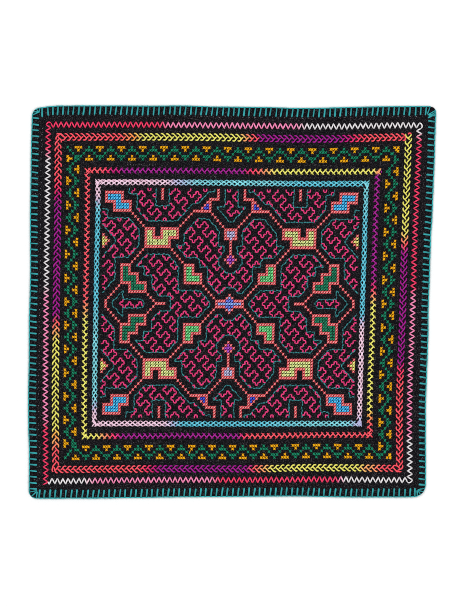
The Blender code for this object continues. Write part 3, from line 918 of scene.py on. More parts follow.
def quarter_chart():
    """Upper left quarter and the axes: outline cells, and the filled cells by colour."""
    zed = union(span(0, 6, 0, 0), span(0, 0, 0, 3), span(0, 3, 3, 3), span(3, 3, 3, 6), span(3, 9, 6, 6), span(9, 9, 3, 6),
                span(6, 9, 3, 3), span(6, 6, 0, 3))
    zed_fill = union(span(1, 5, 1, 2), span(4, 5, 3, 3), span(4, 8, 4, 5))
    arch = union(span(0, 0, 0, 6), span(0, 3, 0, 0), span(3, 3, 0, 3), span(3, 6, 3, 3), span(6, 6, 0, 3), span(6, 12, 0, 0),
                 span(12, 12, 0, 3), span(9, 12, 3, 3), span(9, 9, 3, 6), span(0, 9, 6, 6))
    arch_fill = union(span(1, 2, 1, 5), span(3, 8, 4, 5), span(7, 8, 1, 3), span(9, 11, 1, 2))
    ell = union(span(0, 0, 0, 6), span(0, 3, 0, 0), span(3, 3, 0, 3), span(3, 6, 3, 3), span(6, 6, 3, 6), span(0, 6, 6, 6))
    ell_fill = union(span(1, 2, 1, 5), span(3, 5, 4, 5))
    step = union(span(-41, -38, -13, -13), span(-41, -41, -13, -7), span(-41, -38, -7, -7), span(-38, -38, -7, -4),
                 span(-38, -32, -4, -4), span(-32, -32, -7, -4), span(-35, -32, -7, -7), span(-35, -35, -10, -7),
                 span(-38, -35, -10, -10), span(-38, -38, -13, -10))
    step_fill = union(span(-40, -39, -12, -8), span(-38, -36, -9, -8), span(-37, -36, -7, -7), span(-37, -33, -6, -5))
    outline = union(
        moved(zed, -47, -37), slant(-37, -30, -33, -26),
        moved(arch, -32, -25), slant(-19, -26, -15, -30), span(-14, -8, -31, -31),
        {(-11, -32), (-10, -33), (-9, -34), (-8, -32), (-8, -33), (-8, -34)},
        span(-8, -5, -35, -35), span(-5, -5, -38, -36),
        slant(-7, -30, -3, -26), span(-2, 2, -25, -25), span(-2, -2, -24, -22), span(2, 2, -24, -22),
        {(-2, -22), (-1, -22), (1, -22), (2, -22)},
        span(0, 0, -21, -17), {(-1, -16), (1, -16), (-2, -15), (2, -15), (-1, -14), (1, -14), (0, -13)},
        slant(-22, -18, -18, -14), moved(ell, -17, -13), slant(-10, -6, -6, -2),
        span(-5, -2, -1, -1), span(2, 5, -1, -1), {(-5, 0), (5, 0)}, {(-1, -2), (1, -2), (0, -3)},
        slant(-33, -18, -37, -14), step,
        slant(-42, -6, -46, -2), span(-47, -47, -1, 1), {(-31, -3), (-30, -2), (-29, -1)}, span(-28, -25, 0, 0),
        {(-48, -23), (-47, -22), (-46, -21), (-47, -20), (-48, -19)}, span(-26, -26, -38, -35),
    )
    fills = {
        "sky": moved(zed_fill, -47, -37),
        "lime": moved(arch_fill, -32, -25),
        "royal": {(-10, -32), (-9, -32), (-9, -33)},
        "azure": span(-1, 1, -1, -1),
        "lavender": span(-1, 1, -24, -24) | {(0, -23), (-1, -23), (1, -23), (0, -22)},
        "violet": {(0, -16), (-1, -15), (0, -15), (1, -15), (0, -14)},
        "mint": moved(ell_fill, -17, -13),
        "powder": span(-4, 4, 0, 0) | {(0, -2)},
        "forest": step_fill,
        "yellow": {(-48, -22), (-48, -21), (-47, -21), (-48, -20)},
    }
    return outline, fills


def mirrored_cells(cells):
    out = set()
    for c, r in cells:
        out |= {(c, r), (-c, r), (c, -r), (-c, -r)}
    return out


def cell_corners(cells, half=0.5):
    cells = np.array(sorted(cells), float)
    c, r = cells[:, 0], cells[:, 1]
    return np.stack([grid_point(c - half, r + half), grid_point(c + half, r + half), grid_point(c + half, r - half),
                     grid_point(c - half, r - half)], axis=-2)


# fine line, by holes; each route is worked again in the mirrored quarters
ROUTES = {
    "bay": [(-38, -38), (-38, -36), (-35, -36), (-35, -31), (-31, -27), (-20, -27), (-14, -33), (-12, -33), (-8, -37), (-6, -37), (-6, -38)],
    "notch": [(-28, -38), (-28, -32), (-23, -32), (-23, -38)],
    "arrow": [(-2, -38), (-2, -32), (-5, -32), (0, -27), (1, -27), (6, -32), (3, -32), (3, -38)],
    "heart_out": [(-8, -28), (-12, -28), (-17, -23), (-17, -19), (-20, -19), (-16, -15), (-12, -15), (-11, -14), (-11, -12), (-8, -12),
                  (-8, -7), (-4, -3), (-3, -3), (-1, -5)],
    "heart_in": [(-8, -28), (-4, -24), (-4, -19), (-2, -19), (-2, -17), (-4, -15), (-4, -13), (-1, -10)],
    "ring_in": [(-31, -16), (-23, -16), (-19, -12), (-19, -4), (-11, -4), (-7, 0)],
    "ring_out": [(-31, -16), (-35, -12), (-32, -12), (-32, -9), (-29, -9), (-29, -5), (-26, -2), (-22, -2)],
    "side_out": [(-48, -31), (-46, -31), (-46, -28), (-38, -28), (-34, -24), (-34, -19), (-38, -15), (-43, -15), (-43, -8), (-48, -3)],
    "side_in": [(-48, -26), (-43, -21), (-43, -20), (-48, -15)],
}
DART = [(-44, 0), (-40, -4), (-40, -1), (-33, -1), (-32, 0), (-32, 1), (-33, 2), (-40, 2), (-40, 5), (-44, 1), (-44, 0)]


def flip_x(route):
    return [(1 - i, j) for i, j in route]


def flip_y(route):
    return [(i, 1 - j) for i, j in route]


def line_routes():
    routes = []
    for name, route in ROUTES.items():
        routes.append(route)
        routes.append(flip_y(route))
        if name != "arrow":
            routes.append(flip_x(route))
            routes.append(flip_x(flip_y(route)))
    for joint in ([(-1, -5), (2, -5)], [(-1, -10), (2, -10)]):
        routes += [joint, flip_y(joint)]
    for joint in ([(-7, 0), (-7, 1)], [(-22, -2), (-22, 3)]):
        routes += [joint, flip_x(joint)]
    routes += [DART, flip_x(DART)]
    return routes


def unit_steps(route):
    steps = []
    for (i0, j0), (i1, j1) in zip(route, route[1:]):
        n = max(abs(i1 - i0), abs(j1 - j0))
        for k in range(n):
            steps.append(((i0 + (i1 - i0) * k / n, j0 + (j1 - j0) * k / n), (i0 + (i1 - i0) * (k + 1) / n, j0 + (j1 - j0) * (k + 1) / n)))
    return steps


# The running key that fills the lined fields: one arch and its link, then the
# same again three holes right and three down; rows of it lie (5, -2) apart.
KEY = [(0, 0), (1, 0), (1, 1), (2, 1), (2, 2), (1, 2), (1, 3), (0, 3), (0, 4), (1, 4), (1, 5), (2, 5), (2, 4), (3, 4), (3, 3)]


def fields():
    """Closed outlines of the filled fields, by holes, and where the key starts in each."""
    bay = ROUTES["bay"]
    notch = ROUTES["notch"]
    left_bay = bay + notch[::-1]
    arrow = ROUTES["arrow"]
    heart = ROUTES["heart_out"] + flip_x(ROUTES["heart_out"])[::-1] + flip_x(ROUTES["heart_in"]) + ROUTES["heart_in"][::-1]
    ring = ROUTES["ring_in"] + flip_y(ROUTES["ring_in"])[::-1] + flip_y(ROUTES["ring_out"]) + ROUTES["ring_out"][::-1]
    edge = ROUTES["side_out"] + ROUTES["side_in"][::-1]
    return [
        (left_bay, (-34, -37)), (flip_x(left_bay), (19, -36)), (flip_y(left_bay), (-29, 28)), (flip_x(flip_y(left_bay)), (29, 29)),
        (arrow, (-1, -34)), (flip_y(arrow), (0, 30)),
        (heart, (-15, -25)), (flip_y(heart), (-14, 20)),
        (ring, (-27, -14)), (flip_x(ring), (13, -3)),
        (edge, (-45, -27)), (flip_x(edge), (40, -22)), (flip_y(edge), (-41, 19)), (flip_x(flip_y(edge)), (36, 22)),
    ]


def inside(polygon, x, y):
    hit = np.zeros(len(x), bool)
    pts = np.array(polygon, float)
    for (x0, y0), (x1, y1) in zip(pts, np.roll(pts, -1, axis=0)):
        if y0 == y1:
            continue
        crosses_row = (y0 > y) != (y1 > y)
        hit ^= crosses_row & (x < (x1 - x0) * (y - y0) / (y1 - y0) + x0)
    return hit


def key_steps(polygon, start):
    """Unit stitches of the key whose middles lie in the field, with the pulled corners of a worked line."""
    pts = np.array(polygon, float)
    low, high = pts.min(axis=0), pts.max(axis=0)
    pairs, mids = [], []
    key = np.array(KEY, float)
    before = key[-2] - np.array([3.0, 3.0])
    after = key[1] + np.array([3.0, 3.0])
    full = np.concatenate([[before], key, [after]])
    pulled = full[1:-1] + 0.08 * (0.5 * (full[:-2] + full[2:]) - full[1:-1])
    for m in range(-40, 41):
        for n in range(-40, 41):
            shift = np.array(start, float) + m * np.array([3.0, 3.0]) + n * np.array([5.0, -2.0])
            if (shift > high + 1).any() or (shift + np.array([3.0, 5.0]) < low - 1).any():
                continue
            a, b = key[:-1] + shift, key[1:] + shift
            mids.append(0.5 * (a + b))
            pairs.append(np.stack([pulled[:-1] + shift, pulled[1:] + shift], axis=1))
    mids, pairs = np.concatenate(mids), np.concatenate(pairs)
    keep = inside(polygon, mids[:, 0], mids[:, 1])
    for dx, dy in ((0.12, 0.12), (-0.12, 0.12), (0.12, -0.12), (-0.12, -0.12)):
        keep &= inside(polygon, mids[:, 0] + dx, mids[:, 1] + dy)
    return pairs[keep]


DART_KEYS = (
    [(-40, -1), (-40, 0), (-41, 0), (-41, 1), (-40, 1), (-40, 2)],
    [(-39, 2), (-39, 1), (-38, 1), (-38, 0), (-37, 0), (-37, 1), (-36, 1), (-36, 2)],
    [(-35, 2), (-35, 1), (-34, 1), (-34, 0), (-33, 0), (-33, 1), (-32.5, 1)],
    [(33.5, 1), (34, 1), (34, 0), (35, 0), (35, 1), (36, 1), (36, 2)],
    [(37, -1), (37, 0), (38, 0), (38, 1), (39, 1), (39, 0), (40, 0), (40, -1)],
    [(41, -1), (41, 0), (42, 0), (42, 1), (41, 1), (41, 2)],
)


# painted highlight on the crowns of the fill crosses, by colour
FILL_PAINTED_HIGHLIGHT = {"forest": 0.02, "sky": 0.20, "royal": 0.14, "violet": 0.10}
FILL_YARN = {"lime": 1.08}


def panel(outline_piece, fill_piece, line_piece, key_piece):
    outline, fills = quarter_chart()
    outline = mirrored_cells(outline)
    # crosses that stand corner to corner are drawn in a little tighter
    lone = {(c, r) for c, r in outline if not outline & {(c + 1, r), (c - 1, r), (c, r + 1), (c, r - 1)}}
    crosses(outline_piece, cell_corners(outline - lone, 0.50), COLOURS["salmon"], width=1.24, slope=-1, pale=0.38)
    crosses(outline_piece, cell_corners(lone, 0.47), COLOURS["salmon"] * 0.96, width=1.16, slope=-1, pale=0.38)
    for name, cells in fills.items():
        cells = mirrored_cells(cells) - outline
        crosses(fill_piece, cell_corners(cells, 0.48), COLOURS[name] * 1.03, width=FILL_YARN.get(name, 1.14), slope=-1, pale=FILL_PAINTED_HIGHLIGHT.get(name, 0.30), wobble=0.17)
    a, b = [], []
    for route in line_routes():
        for p, q in unit_steps(route):
            a.append(p)
            b.append(q)
    a, b = np.array(a), np.array(b)
    straight(line_piece, hole(a[:, 0], a[:, 1]), hole(b[:, 0], b[:, 1]), COLOURS["line"] * (1.0 + RNG.normal(0.0, 0.17, (len(a), 1))), 1.14, SINGLE * 0.7, bow=np.where(np.arange(len(a)) % 2 == 0, 0.26, -0.26), wobble=0.20, ramp=BEAD_PAINTED_LIGHT, full=BEAD_FULL)
    for polygon, start in fields():
        pairs = key_steps(polygon, start)
        straight(key_piece, hole(pairs[:, 0, 0], pairs[:, 0, 1]), hole(pairs[:, 1, 0], pairs[:, 1, 1]), COLOURS["magenta"] * (1.0 + RNG.normal(0.0, 0.11, (len(pairs), 1))), 1.38, KEY_LIFT, wobble=0.15, ramp=KEY_PAINTED_LIGHT, full=KEY_FULL, pale=0.08)
    for route in DART_KEYS:
        p = np.array(route, float)
        straight(key_piece, hole(p[:-1, 0], p[:-1, 1]), hole(p[1:, 0], p[1:, 1]), COLOURS["magenta"], 1.36, KEY_LIFT, wobble=0.13, ramp=KEY_PAINTED_LIGHT, full=KEY_FULL, pale=0.05)


KEY_LIFT = np.array([-0.12, 0.20, 0.40, 0.46, 0.40, 0.20, -0.12])
KEY_FULL = np.array([0.74, 0.90, 1.0, 1.02, 1.0, 0.90, 0.74])
# painted light and shade along a key stitch: lighter on its crown, darker at its ends
KEY_PAINTED_LIGHT = np.array([0.62, 0.84, 1.08, 1.24, 1.08, 0.84, 0.62])

# =====================================================================
# 6  The edging: blanket stitch over the hem
# =====================================================================
_os, _ot = outline_st(900)
_ox, _oy = laid(_os, _ot)
OUTLINE = np.stack([_ox, _oy], axis=1) * 1000.0
_step = np.linalg.norm(np.diff(np.vstack([OUTLINE, OUTLINE[:1]]), axis=0), axis=1)
OUT_LEN = np.concatenate([[0.0], np.cumsum(_step)])
PERIMETER = OUT_LEN[-1]


def on_outline(d):
    """Outline point at distance d clockwise from the head edge's left end, and the inward direction."""
    d = np.mod(d, PERIMETER)
    loop = np.vstack([OUTLINE, OUTLINE[:1]])

    def at(x):
        x = np.mod(x, PERIMETER)
        return np.stack([np.interp(x, OUT_LEN, loop[:, 0]), np.interp(x, OUT_LEN, loop[:, 1])], axis=-1)

    way = at(d + 1.2) - at(d - 1.2)
    way = way / np.linalg.norm(way, axis=-1, keepdims=True)
    return at(d), np.stack([way[..., 1], -way[..., 0]], axis=-1), way


# depth of the stitches at the start and at the end of each side (mm), spacing, how far the inner ends trail
EDGING = {"top": (8.75, 8.5, 5.03, 1.05, 1.66), "right": (7.0, 6.3, 5.62, 0.7, 1.80), "bottom": (8.2, 8.3, 5.03, 0.95, 1.76), "left": (7.4, 6.9, 5.62, 0.65, 1.74)}
# corner fans: how far past the corner each stitch goes over the edge, its hole (mm)
FANS = {
    "top": ((-5.4, (-181.6, 178.5)), (-1.8, (-181.6, 178.5)), (2.1, (-181.8, 178.7)), (5.8, (-181.4, 178.2))),
    "right": ((-4.4, (183.4, 176.4)), (2.9, (184.0, 175.8)), (4.7, (184.7, 174.4)), (6.4, (184.2, 173.0))),
    "bottom": ((-5.2, (174.5, -176.4)), (-1.4, (174.2, -176.9)), (2.4, (174.4, -176.6)), (5.6, (173.8, -177.2))),
    "left": ((-5.6, (-183.0, -178.2)), (-0.4, (-183.6, -178.0)), (4.6, (-183.2, -177.2))),
}


def edging(piece):
    corner_at = {"top": 0.0, "right": OUT_LEN[900], "bottom": OUT_LEN[1800], "left": OUT_LEN[2700]}
    order = ["top", "right", "bottom", "left"]
    # the outline starts with a corner's second half, so each run keeps clear of it
    reach = 8.0
    places, inner, yarn, bare = [], [], [], []
    for i, side in enumerate(order):
        start = corner_at[side] + reach
        end = (corner_at[order[(i + 1) % 4]] if i < 3 else PERIMETER) - reach
        d0, d1, pitch, trail, size = EDGING[side]
        count = int(round((end - start) / pitch))
        # the fan at the side's first corner
        for past, hole_at in FANS[side]:
            places.append(corner_at[side] + past)
            inner.append(np.array(hole_at))
            yarn.append(1.22)
            bare.append(1.2 if side == "right" and 0.0 < past < 4.0 else 9.0)
        d = start + (end - start) * np.arange(count + 1) / count + RNG.normal(0, 0.14, count + 1)
        p, inward, way = on_outline(d)
        share = np.linspace(0, 1, count + 1)
        depth = d0 + (d1 - d0) * share + RNG.normal(0, 0.18, count + 1)
        tip = p + inward * depth[:, None] - way * (trail * (1 + RNG.normal(0, 0.25, count + 1)))[:, None]
        places += list(d)
        inner += list(tip)
        yarn += [size] * len(d)
        bare += [9.0] * len(d)
    places = np.array(places)
    inner = np.array(inner)
    n = len(places)
    p, inward, way = on_outline(places)
    gap = np.minimum(np.mod(places - np.roll(places, 1), PERIMETER), bare)
    teal = COLOURS["teal"]
    tone = (1.0 + RNG.normal(0, 0.05, (n, 1)))
    # along the edge from the stitch before, round the turn, and in over the hem to the hole
    rings = []
    for f, out, z in ((1.04, 0.30, 0.95), (0.72, 0.42, 1.20), (0.40, 0.42, 1.25), (0.13, 0.38, 1.35)):
        q, nin, _ = on_outline(places - gap * f)
        rings.append(np.concatenate([q + nin * out, np.full((n, 1), z)], axis=1))
    edge_point = p + inward * 0.55
    for share, lift, z_edge in ((0.02, 0.0, 1.85), (0.12, 0.46, None), (0.40, 0.42, None), (0.72, 0.42, None), (0.93, 0.18, None), (1.0, -0.5, None)):
        q = edge_point + (inner - edge_point) * share
        z = np.full(n, z_edge) if z_edge else top_mm(q[:, 0], q[:, 1]) + lift
        if z_edge is None and share == 0.12:
            z = np.full(n, HEM_TOP * 1000.0) + lift
        rings.append(np.concatenate([q, z[:, None]], axis=1))
    points = np.stack(rings, axis=1)
    half = 0.5 * np.array(yarn)[:, None] * (1 + RNG.normal(0, 0.07, (n, 1)))
    full = np.array([0.62, 0.74, 0.78, 0.80, 0.82, 0.95, 1.0, 1.05, 1.0, 0.8])[None, :]
    colour = np.repeat((teal * tone)[:, None, :], points.shape[1], axis=1)
    # painted light along each stitch: the cord along the edge lighter, the stitch darker where it rolls over the hem's
    # edge, and lighter again on its spoke
    ramp = np.array([1.10, 1.24, 1.26, 1.16, 0.80, 0.74, 0.84, 1.00, 1.10, 0.95])
    piece.add(points, half * full, half * full * 0.80, colour * ramp[None, :, None])
    # the return under the cloth, from the hole out to the edge and up into the loop
    rings = []
    for share, z in ((0.98, 0.9), (0.90, 0.30), (0.5, 0.28), (0.12, 0.28)):
        q = edge_point + (inner - edge_point) * share
        rings.append(np.concatenate([q, np.full((n, 1), z)], axis=1))
    for out, z in ((0.30, 0.45), (0.28, 1.0), (0.55, 1.35)):
        rings.append(np.concatenate([p + inward * out + way * 0.25, np.full((n, 1), z)], axis=1))
    points = np.stack(rings, axis=1)
    half = np.full((n, 7), 0.5 * 1.15) * np.array([0.5, 0.85, 1.0, 1.0, 0.9, 0.85, 0.5])[None, :]
    piece.add(points, half, half * 0.45, teal * 0.95 * tone)


def hem_stitches(piece):
    """Fine dark running stitches that hold the hem, just inside its line."""
    for i, (k, side) in enumerate(((0, "top"), (900, "right"), (1800, "bottom"), (2700, "left"))):
        start = OUT_LEN[k] + 12.0
        end = (OUT_LEN[k + 900]) - 12.0
        count = int((end - start) / 5.6)
        d = start + (end - start) * np.arange(count) / count
        p, inward, way = on_outline(d)
        q = p + inward * (9.7 + RNG.normal(0, 0.14, (count, 1)))
        a = q - way * 0.42
        b = q + way * 0.42
        straight(piece, a, b, COLOURS["hem"] * (0.35 if side in ("right", "bottom") else 1.0) * RNG.uniform(0.35, 1.15, (count, 1)), 0.66, SINGLE * 0.5, wobble=0.12)


def lint(piece):
    """Pale fluff caught on the cloth: one line of it by the plait, and stray bits between the borders."""
    x = np.linspace(-98.5, -73.0, 11) + RNG.normal(0.0, 0.25, 11)
    y = 128.9 + RNG.normal(0.0, 0.3, 11)
    rows = [np.stack([x, y], axis=1)]
    for reach_x, reach_y in ((181.0, 174.5), (170.0, 161.5), (158.5, 147.5), (144.5, 132.0), (134.0, 118.5)):
        n = 44
        across = RNG.uniform(-1.0, 1.0, n)
        flip = RNG.uniform(0.0, 1.0, n) < 0.5
        side = np.where(RNG.uniform(0.0, 1.0, n) < 0.5, -1.0, 1.0)
        x = np.where(flip, across * reach_x, side * reach_x - 4.0) + RNG.normal(0.0, 0.8, n)
        y = np.where(flip, side * reach_y, across * reach_y) + RNG.normal(0.0, 0.8, n)
        rows.append(np.stack([x, y], axis=1))
    p = on_cloth(np.concatenate(rows))
    angle = RNG.uniform(0.0, math.pi, len(p))
    reach = RNG.uniform(0.22, 0.5, (len(p), 1)) * np.stack([np.cos(angle), np.sin(angle)], axis=1)
    tone = np.where(np.arange(len(p)) < 11, 0.16, RNG.uniform(0.05, 0.16, len(p)))
    straight(piece, p - reach, p + reach, tone[:, None] * np.array([1.0, 0.97, 1.05]), 0.62, SINGLE * 0.5, wobble=0.05, ramp=KEY_PAINTED_LIGHT)


# =====================================================================
# 7  Materials
# =====================================================================


class Nodes:
    def __init__(self, name):
        self.material = bpy.data.materials.new(name)
        self.material.use_nodes = True
        self.tree = self.material.node_tree
        self.shader = self.tree.nodes["Principled BSDF"]

    def node(self, kind, **settings):
        made = self.tree.nodes.new(kind)
        for key, value in settings.items():
            setattr(made, key, value)
        return made

    def join(self, a, b):
        self.tree.links.new(a, b)

    def value(self, operation, a, b=None, c=None):
        made = self.node("ShaderNodeMath", operation=operation)
        for socket, item in zip(made.inputs, (a, b, c)):
            if item is None:
                continue
            if isinstance(item, (int, float)):
                socket.default_value = item
            else:
                self.join(item, socket)
        return made.outputs[0]


def yarn_material(name, twist=1.15, fuzz=0.015):
    """Twisted cotton floss: two plies, soft sheen, colour a little uneven."""
    m = Nodes(name)
    tint = m.node("ShaderNodeAttribute", attribute_name="tint").outputs["Color"]
    yarn = m.node("ShaderNodeUVMap", uv_map="yarn").outputs["UV"]
    parts = m.node("ShaderNodeSeparateXYZ")
    m.join(yarn, parts.inputs[0])
    along, around = parts.outputs[0], parts.outputs[1]
    turn = m.value("ADD", m.value("DIVIDE", along, twist), m.value("MULTIPLY", around, 2.0))
    ply = m.value("SINE", m.value("MULTIPLY", turn, 2.0 * math.pi))
    ply = m.value("ABSOLUTE", ply)
    fine = m.value("SINE", m.value("MULTIPLY", m.value("ADD", m.value("MULTIPLY", along, 0.55), m.value("MULTIPLY", around, 11.0)), 2.0 * math.pi))
    place_node = m.node("ShaderNodeTexCoord")
    noise = m.node("ShaderNodeTexNoise")
    noise.inputs["Scale"].default_value = 900.0
    noise.inputs["Detail"].default_value = 3.0
    m.join(place_node.outputs["Object"], noise.inputs["Vector"])
    broad = m.node("ShaderNodeTexNoise")
    broad.inputs["Scale"].default_value = 120.0
    broad.inputs["Detail"].default_value = 2.0
    m.join(place_node.outputs["Object"], broad.inputs["Vector"])
    # colour: painted shade in the plies' furrows, fibres uneven
    light = m.value("ADD", m.value("MULTIPLY", ply, 0.16), 0.88)
    light = m.value("MULTIPLY", light, m.value("ADD", m.value("MULTIPLY", noise.outputs["Fac"], 0.24), 0.88))
    light = m.value("MULTIPLY", light, m.value("ADD", m.value("MULTIPLY", broad.outputs["Fac"], 0.20), 0.90))
    scaled = m.node("ShaderNodeVectorMath", operation="SCALE")
    m.join(tint, scaled.inputs[0])
    m.join(light, scaled.inputs["Scale"])
    m.join(scaled.outputs[0], m.shader.inputs["Base Color"])
    height = m.value("ADD", m.value("MULTIPLY", ply, 0.7), m.value("MULTIPLY", fine, 0.12))
    height = m.value("ADD", height, m.value("MULTIPLY", noise.outputs["Fac"], 0.35))
    bump = m.node("ShaderNodeBump")
    bump.inputs["Strength"].default_value = 0.55
    bump.inputs["Distance"].default_value = 0.00011
    m.join(height, bump.inputs["Height"])
    m.join(bump.outputs[0], m.shader.inputs["Normal"])
    rough = m.value("ADD", m.value("MULTIPLY", noise.outputs["Fac"], 0.16), 0.60)
    m.join(rough, m.shader.inputs["Roughness"])
    m.shader.inputs["Specular IOR Level"].default_value = 0.06
    m.shader.inputs["Sheen Weight"].default_value = fuzz
    m.shader.inputs["Sheen Roughness"].default_value = 0.5
    return m.material


def cotton_material():
    """Black plain-weave cotton: threads of about half a millimetre, small pale specks of lint and wear."""
    m = Nodes("black_cotton")
    coords = m.node("ShaderNodeTexCoord").outputs["Object"]
    bend = m.node("ShaderNodeTexNoise")
    bend.inputs["Scale"].default_value = 45.0
    bend.inputs["Detail"].default_value = 2.0
    m.join(coords, bend.inputs["Vector"])
    sway = m.node("ShaderNodeVectorMath", operation="MULTIPLY_ADD")
    m.join(bend.outputs["Color"], sway.inputs[0])
    sway.inputs[1].default_value = (0.0006, 0.0006, 0.0)
    m.join(coords, sway.inputs[2])
    parts = m.node("ShaderNodeSeparateXYZ")
    m.join(sway.outputs[0], parts.inputs[0])
    pitch = 2.0 * math.pi / 0.00047
    wave_x = m.value("SINE", m.value("MULTIPLY", parts.outputs[0], pitch))
    wave_y = m.value("SINE", m.value("MULTIPLY", parts.outputs[1], pitch))
    weave = m.value("MULTIPLY", wave_x, wave_y)
    ridge = m.value("MULTIPLY", m.value("ADD", m.value("ABSOLUTE", wave_x), m.value("ABSOLUTE", wave_y)), 0.5)
    height = m.value("ADD", m.value("MULTIPLY", weave, 0.5), ridge)
    speck = m.node("ShaderNodeTexNoise")
    speck.inputs["Scale"].default_value = 1250.0
    speck.inputs["Detail"].default_value = 1.0
    speck.inputs["Roughness"].default_value = 0.5
    m.join(coords, speck.inputs["Vector"])
    ramp = m.node("ShaderNodeValToRGB")
    ramp.color_ramp.elements[0].position = 0.42
    ramp.color_ramp.elements[0].color = (0.0042, 0.0038, 0.0050, 1.0)
    ramp.color_ramp.elements[1].position = 0.78
    ramp.color_ramp.elements[1].color = (0.098, 0.092, 0.101, 1.0)
    middle = ramp.color_ramp.elements.new(0.57)
    middle.color = (0.0128, 0.0117, 0.0143, 1.0)
    middle = ramp.color_ramp.elements.new(0.67)
    middle.color = (0.0320, 0.0295, 0.0340, 1.0)
    m.join(speck.outputs["Fac"], ramp.inputs["Fac"])
    # painted shade: the weave's raised threads lighter, the hollows between them darker
    light = m.value("ADD", m.value("MULTIPLY", ridge, 0.5), 0.72)
    scaled = m.node("ShaderNodeVectorMath", operation="SCALE")
    m.join(ramp.outputs["Color"], scaled.inputs[0])
    m.join(light, scaled.inputs["Scale"])
    m.join(scaled.outputs[0], m.shader.inputs["Base Color"])
    bump = m.node("ShaderNodeBump")
    bump.inputs["Strength"].default_value = 0.5
    bump.inputs["Distance"].default_value = 0.00018
    m.join(height, bump.inputs["Height"])
    m.join(bump.outputs[0], m.shader.inputs["Normal"])
    m.shader.inputs["Roughness"].default_value = 0.92
    m.shader.inputs["Specular IOR Level"].default_value = 0.02
    m.shader.inputs["Sheen Weight"].default_value = 0.0
    return m.material


# =====================================================================
# 8  The cotton itself
# =====================================================================


def ground(material):
    roll = [EDGE_INSET + x for x in (0.0, 0.00012, 0.00035, 0.0007, 0.0012, 0.0024, 0.0044, 0.0064)]
    hem = [HEM_WIDTH - 0.0026, HEM_WIDTH - 0.0018, HEM_WIDTH - 0.0011, HEM_WIDTH - 0.0004, HEM_WIDTH + 0.0003]

    def stations(half):
        outer = [half - e for e in roll + hem]
        inner = outer[-1]
        count = int(round(2 * inner / 0.0026))
        middle = list(np.linspace(-inner, inner, count + 1)[1:-1])
        return np.array(sorted([-x for x in outer] + middle + outer))

    cols, rows = stations(HALF_W), stations(HALF_H)
    s, t = np.meshgrid(cols, rows)
    x, y = laid(s, t)
    top = np.stack([x, y, top_height(s, t)], axis=2)
    under = np.stack([x, y, under_height(s, t)], axis=2)
    nr, nc = s.shape
    ids_top = np.arange(nr * nc).reshape(nr, nc)
    ids_under = np.full((nr, nc), -1)
    rim = np.zeros((nr, nc), bool)
    rim[0], rim[-1], rim[:, 0], rim[:, -1] = True, True, True, True
    ids_under[rim] = ids_top[rim]
    free = ~rim
    ids_under[free] = nr * nc + np.arange(free.sum())
    verts = np.concatenate([top.reshape(-1, 3), under[free]])
    a = ids_top
    up = np.stack([a[:-1, :-1], a[:-1, 1:], a[1:, 1:], a[1:, :-1]], axis=-1).reshape(-1, 4)
    b = ids_under
    down = np.stack([b[:-1, :-1], b[1:, :-1], b[1:, 1:], b[:-1, 1:]], axis=-1).reshape(-1, 4)
    quads = np.concatenate([up, down])
    mesh = bpy.data.meshes.new("ground_cotton")
    mesh.vertices.add(len(verts))
    mesh.vertices.foreach_set("co", verts.astype(np.float32).reshape(-1))
    mesh.loops.add(quads.size)
    mesh.loops.foreach_set("vertex_index", quads.astype(np.int32).reshape(-1))
    mesh.polygons.add(len(quads))
    mesh.polygons.foreach_set("loop_start", (4 * np.arange(len(quads))).astype(np.int32))
    mesh.update(calc_edges=True)
    mesh.polygons.foreach_set("use_smooth", np.ones(len(quads), bool))
    # bake map: upper face on the left half, lower face on the right
    layer = mesh.uv_layers.new(name="OFBake")
    flat_x = (verts[:, 0] - verts[:, 0].min()) / (verts[:, 0].max() - verts[:, 0].min())
    flat_y = (verts[:, 1] - verts[:, 1].min()) / (verts[:, 1].max() - verts[:, 1].min())
    uv_up = np.stack([0.01 + 0.60 * flat_x, 0.01 + 0.98 * flat_y], axis=1)[up.reshape(-1)]
    uv_down = np.stack([0.99 - 0.36 * flat_x, 0.01 + 0.98 * flat_y], axis=1)[down.reshape(-1)]
    layer.data.foreach_set("uv", np.concatenate([uv_up, uv_down]).astype(np.float32).reshape(-1))
    mesh.validate()
    obj = bpy.data.objects.new("ground_cotton", mesh)
    bpy.context.scene.collection.objects.link(obj)
    obj.data.materials.append(material)
    return obj


# =====================================================================
# 9  Putting it together
# =====================================================================
floss = yarn_material("cotton_floss")
fine = yarn_material("fine_thread", twist=0.8)
cotton = cotton_material()

cloth = ground(cotton)
made = []


def piece_of(name, work, material=floss, sides=6):
    piece = Piece(name, sides)
    work(piece)
    made.append(piece.build(material))
    print(name, piece.triangles())


piece_of("edge_blanket", edging)
piece_of("hem_stitches", hem_stitches, fine, 5)
piece_of("lint", lint, fine, 5)
piece_of("row_zigzag", zigzag)
piece_of("row_feather", feather)
green, orange = Piece("band_trellis"), Piece("band_triangles")
band(green, orange)
piece_of("row_plait", plait)
piece_of("frame_plait", frame_mesh)
outline_piece, fill_piece = Piece("panel_outline"), Piece("panel_fill")
line_piece, key_piece = Piece("panel_line", 5), Piece("panel_key")
panel(outline_piece, fill_piece, line_piece, key_piece)
for piece, material in ((green, floss), (orange, floss), (outline_piece, floss), (fill_piece, floss), (line_piece, fine), (key_piece, floss)):
    made.append(piece.build(material))
    print(piece.name, piece.triangles())

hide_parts("cloth")
for obj in [cloth] + made:
    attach(obj, "root")

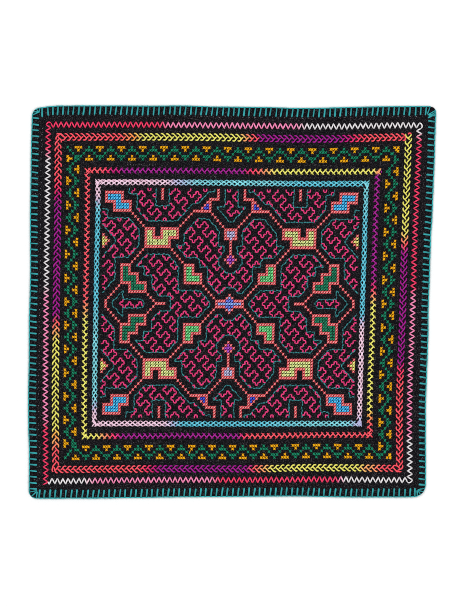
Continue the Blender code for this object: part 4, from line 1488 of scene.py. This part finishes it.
# =====================================================================
# 10  Floor, light, camera
# =====================================================================
floor_mesh = bpy.data.meshes.new("floor")
floor_mesh.from_pydata([(-6, -6, 0), (6, -6, 0), (6, 6, 0), (-6, 6, 0)], [], [(0, 1, 2, 3)])
floor = bpy.data.objects.new("floor", floor_mesh)
bpy.context.scene.collection.objects.link(floor)
paper = Nodes("pale_floor")
paper.shader.inputs["Base Color"].default_value = (0.90, 0.90, 0.90, 1.0)
paper.shader.inputs["Roughness"].default_value = 0.9
paper.shader.inputs["Specular IOR Level"].default_value = 0.1
floor.data.materials.append(paper.material)

world = bpy.data.worlds.new("studio")
bpy.context.scene.world = world
world.use_nodes = True
background = world.node_tree.nodes["Background"]
background.inputs["Color"].default_value = (1.0, 1.0, 1.0, 1.0)
background.inputs["Strength"].default_value = 0.62


def lamp(name, place_at, size, power):
    data = bpy.data.lights.new(name, "AREA")
    data.shape = "SQUARE"
    data.size = size
    data.energy = power
    obj = bpy.data.objects.new(name, data)
    obj.location = place_at
    direction = -np.array(place_at)
    obj.rotation_mode = "QUATERNION"
    from mathutils import Vector
    obj.rotation_quaternion = Vector(direction.tolist()).to_track_quat("-Z", "Y")
    bpy.context.scene.collection.objects.link(obj)
    return obj


lamp("key", (-1.3, 1.6, 2.4), 1.2, 38.0)
lamp("fill", (1.5, -1.2, 2.3), 1.2, 30.0)

camera_data = bpy.data.cameras.new("camera")
camera = bpy.data.objects.new("camera", camera_data)
bpy.context.scene.collection.objects.link(camera)
bpy.context.scene.camera = camera
camera_data.type = "PERSP"
camera_data.sensor_width = 36.0
camera_data.lens = 36.0 * 2.0 / 0.5762
camera.location = (-0.00193, -0.0042, 2.0015)
camera.rotation_euler = (0.0, 0.0, 0.0)
camera_data.clip_start, camera_data.clip_end = 0.05, 50.0

bpy.context.scene.view_settings.view_transform = "Standard"
bpy.context.scene.view_settings.look = "None"
bpy.context.scene.cycles.filter_width = 0.85
bpy.context.scene.cycles.use_denoising = False     # the stitches are fine, and it would smear them

bpy.context.view_layer.update()
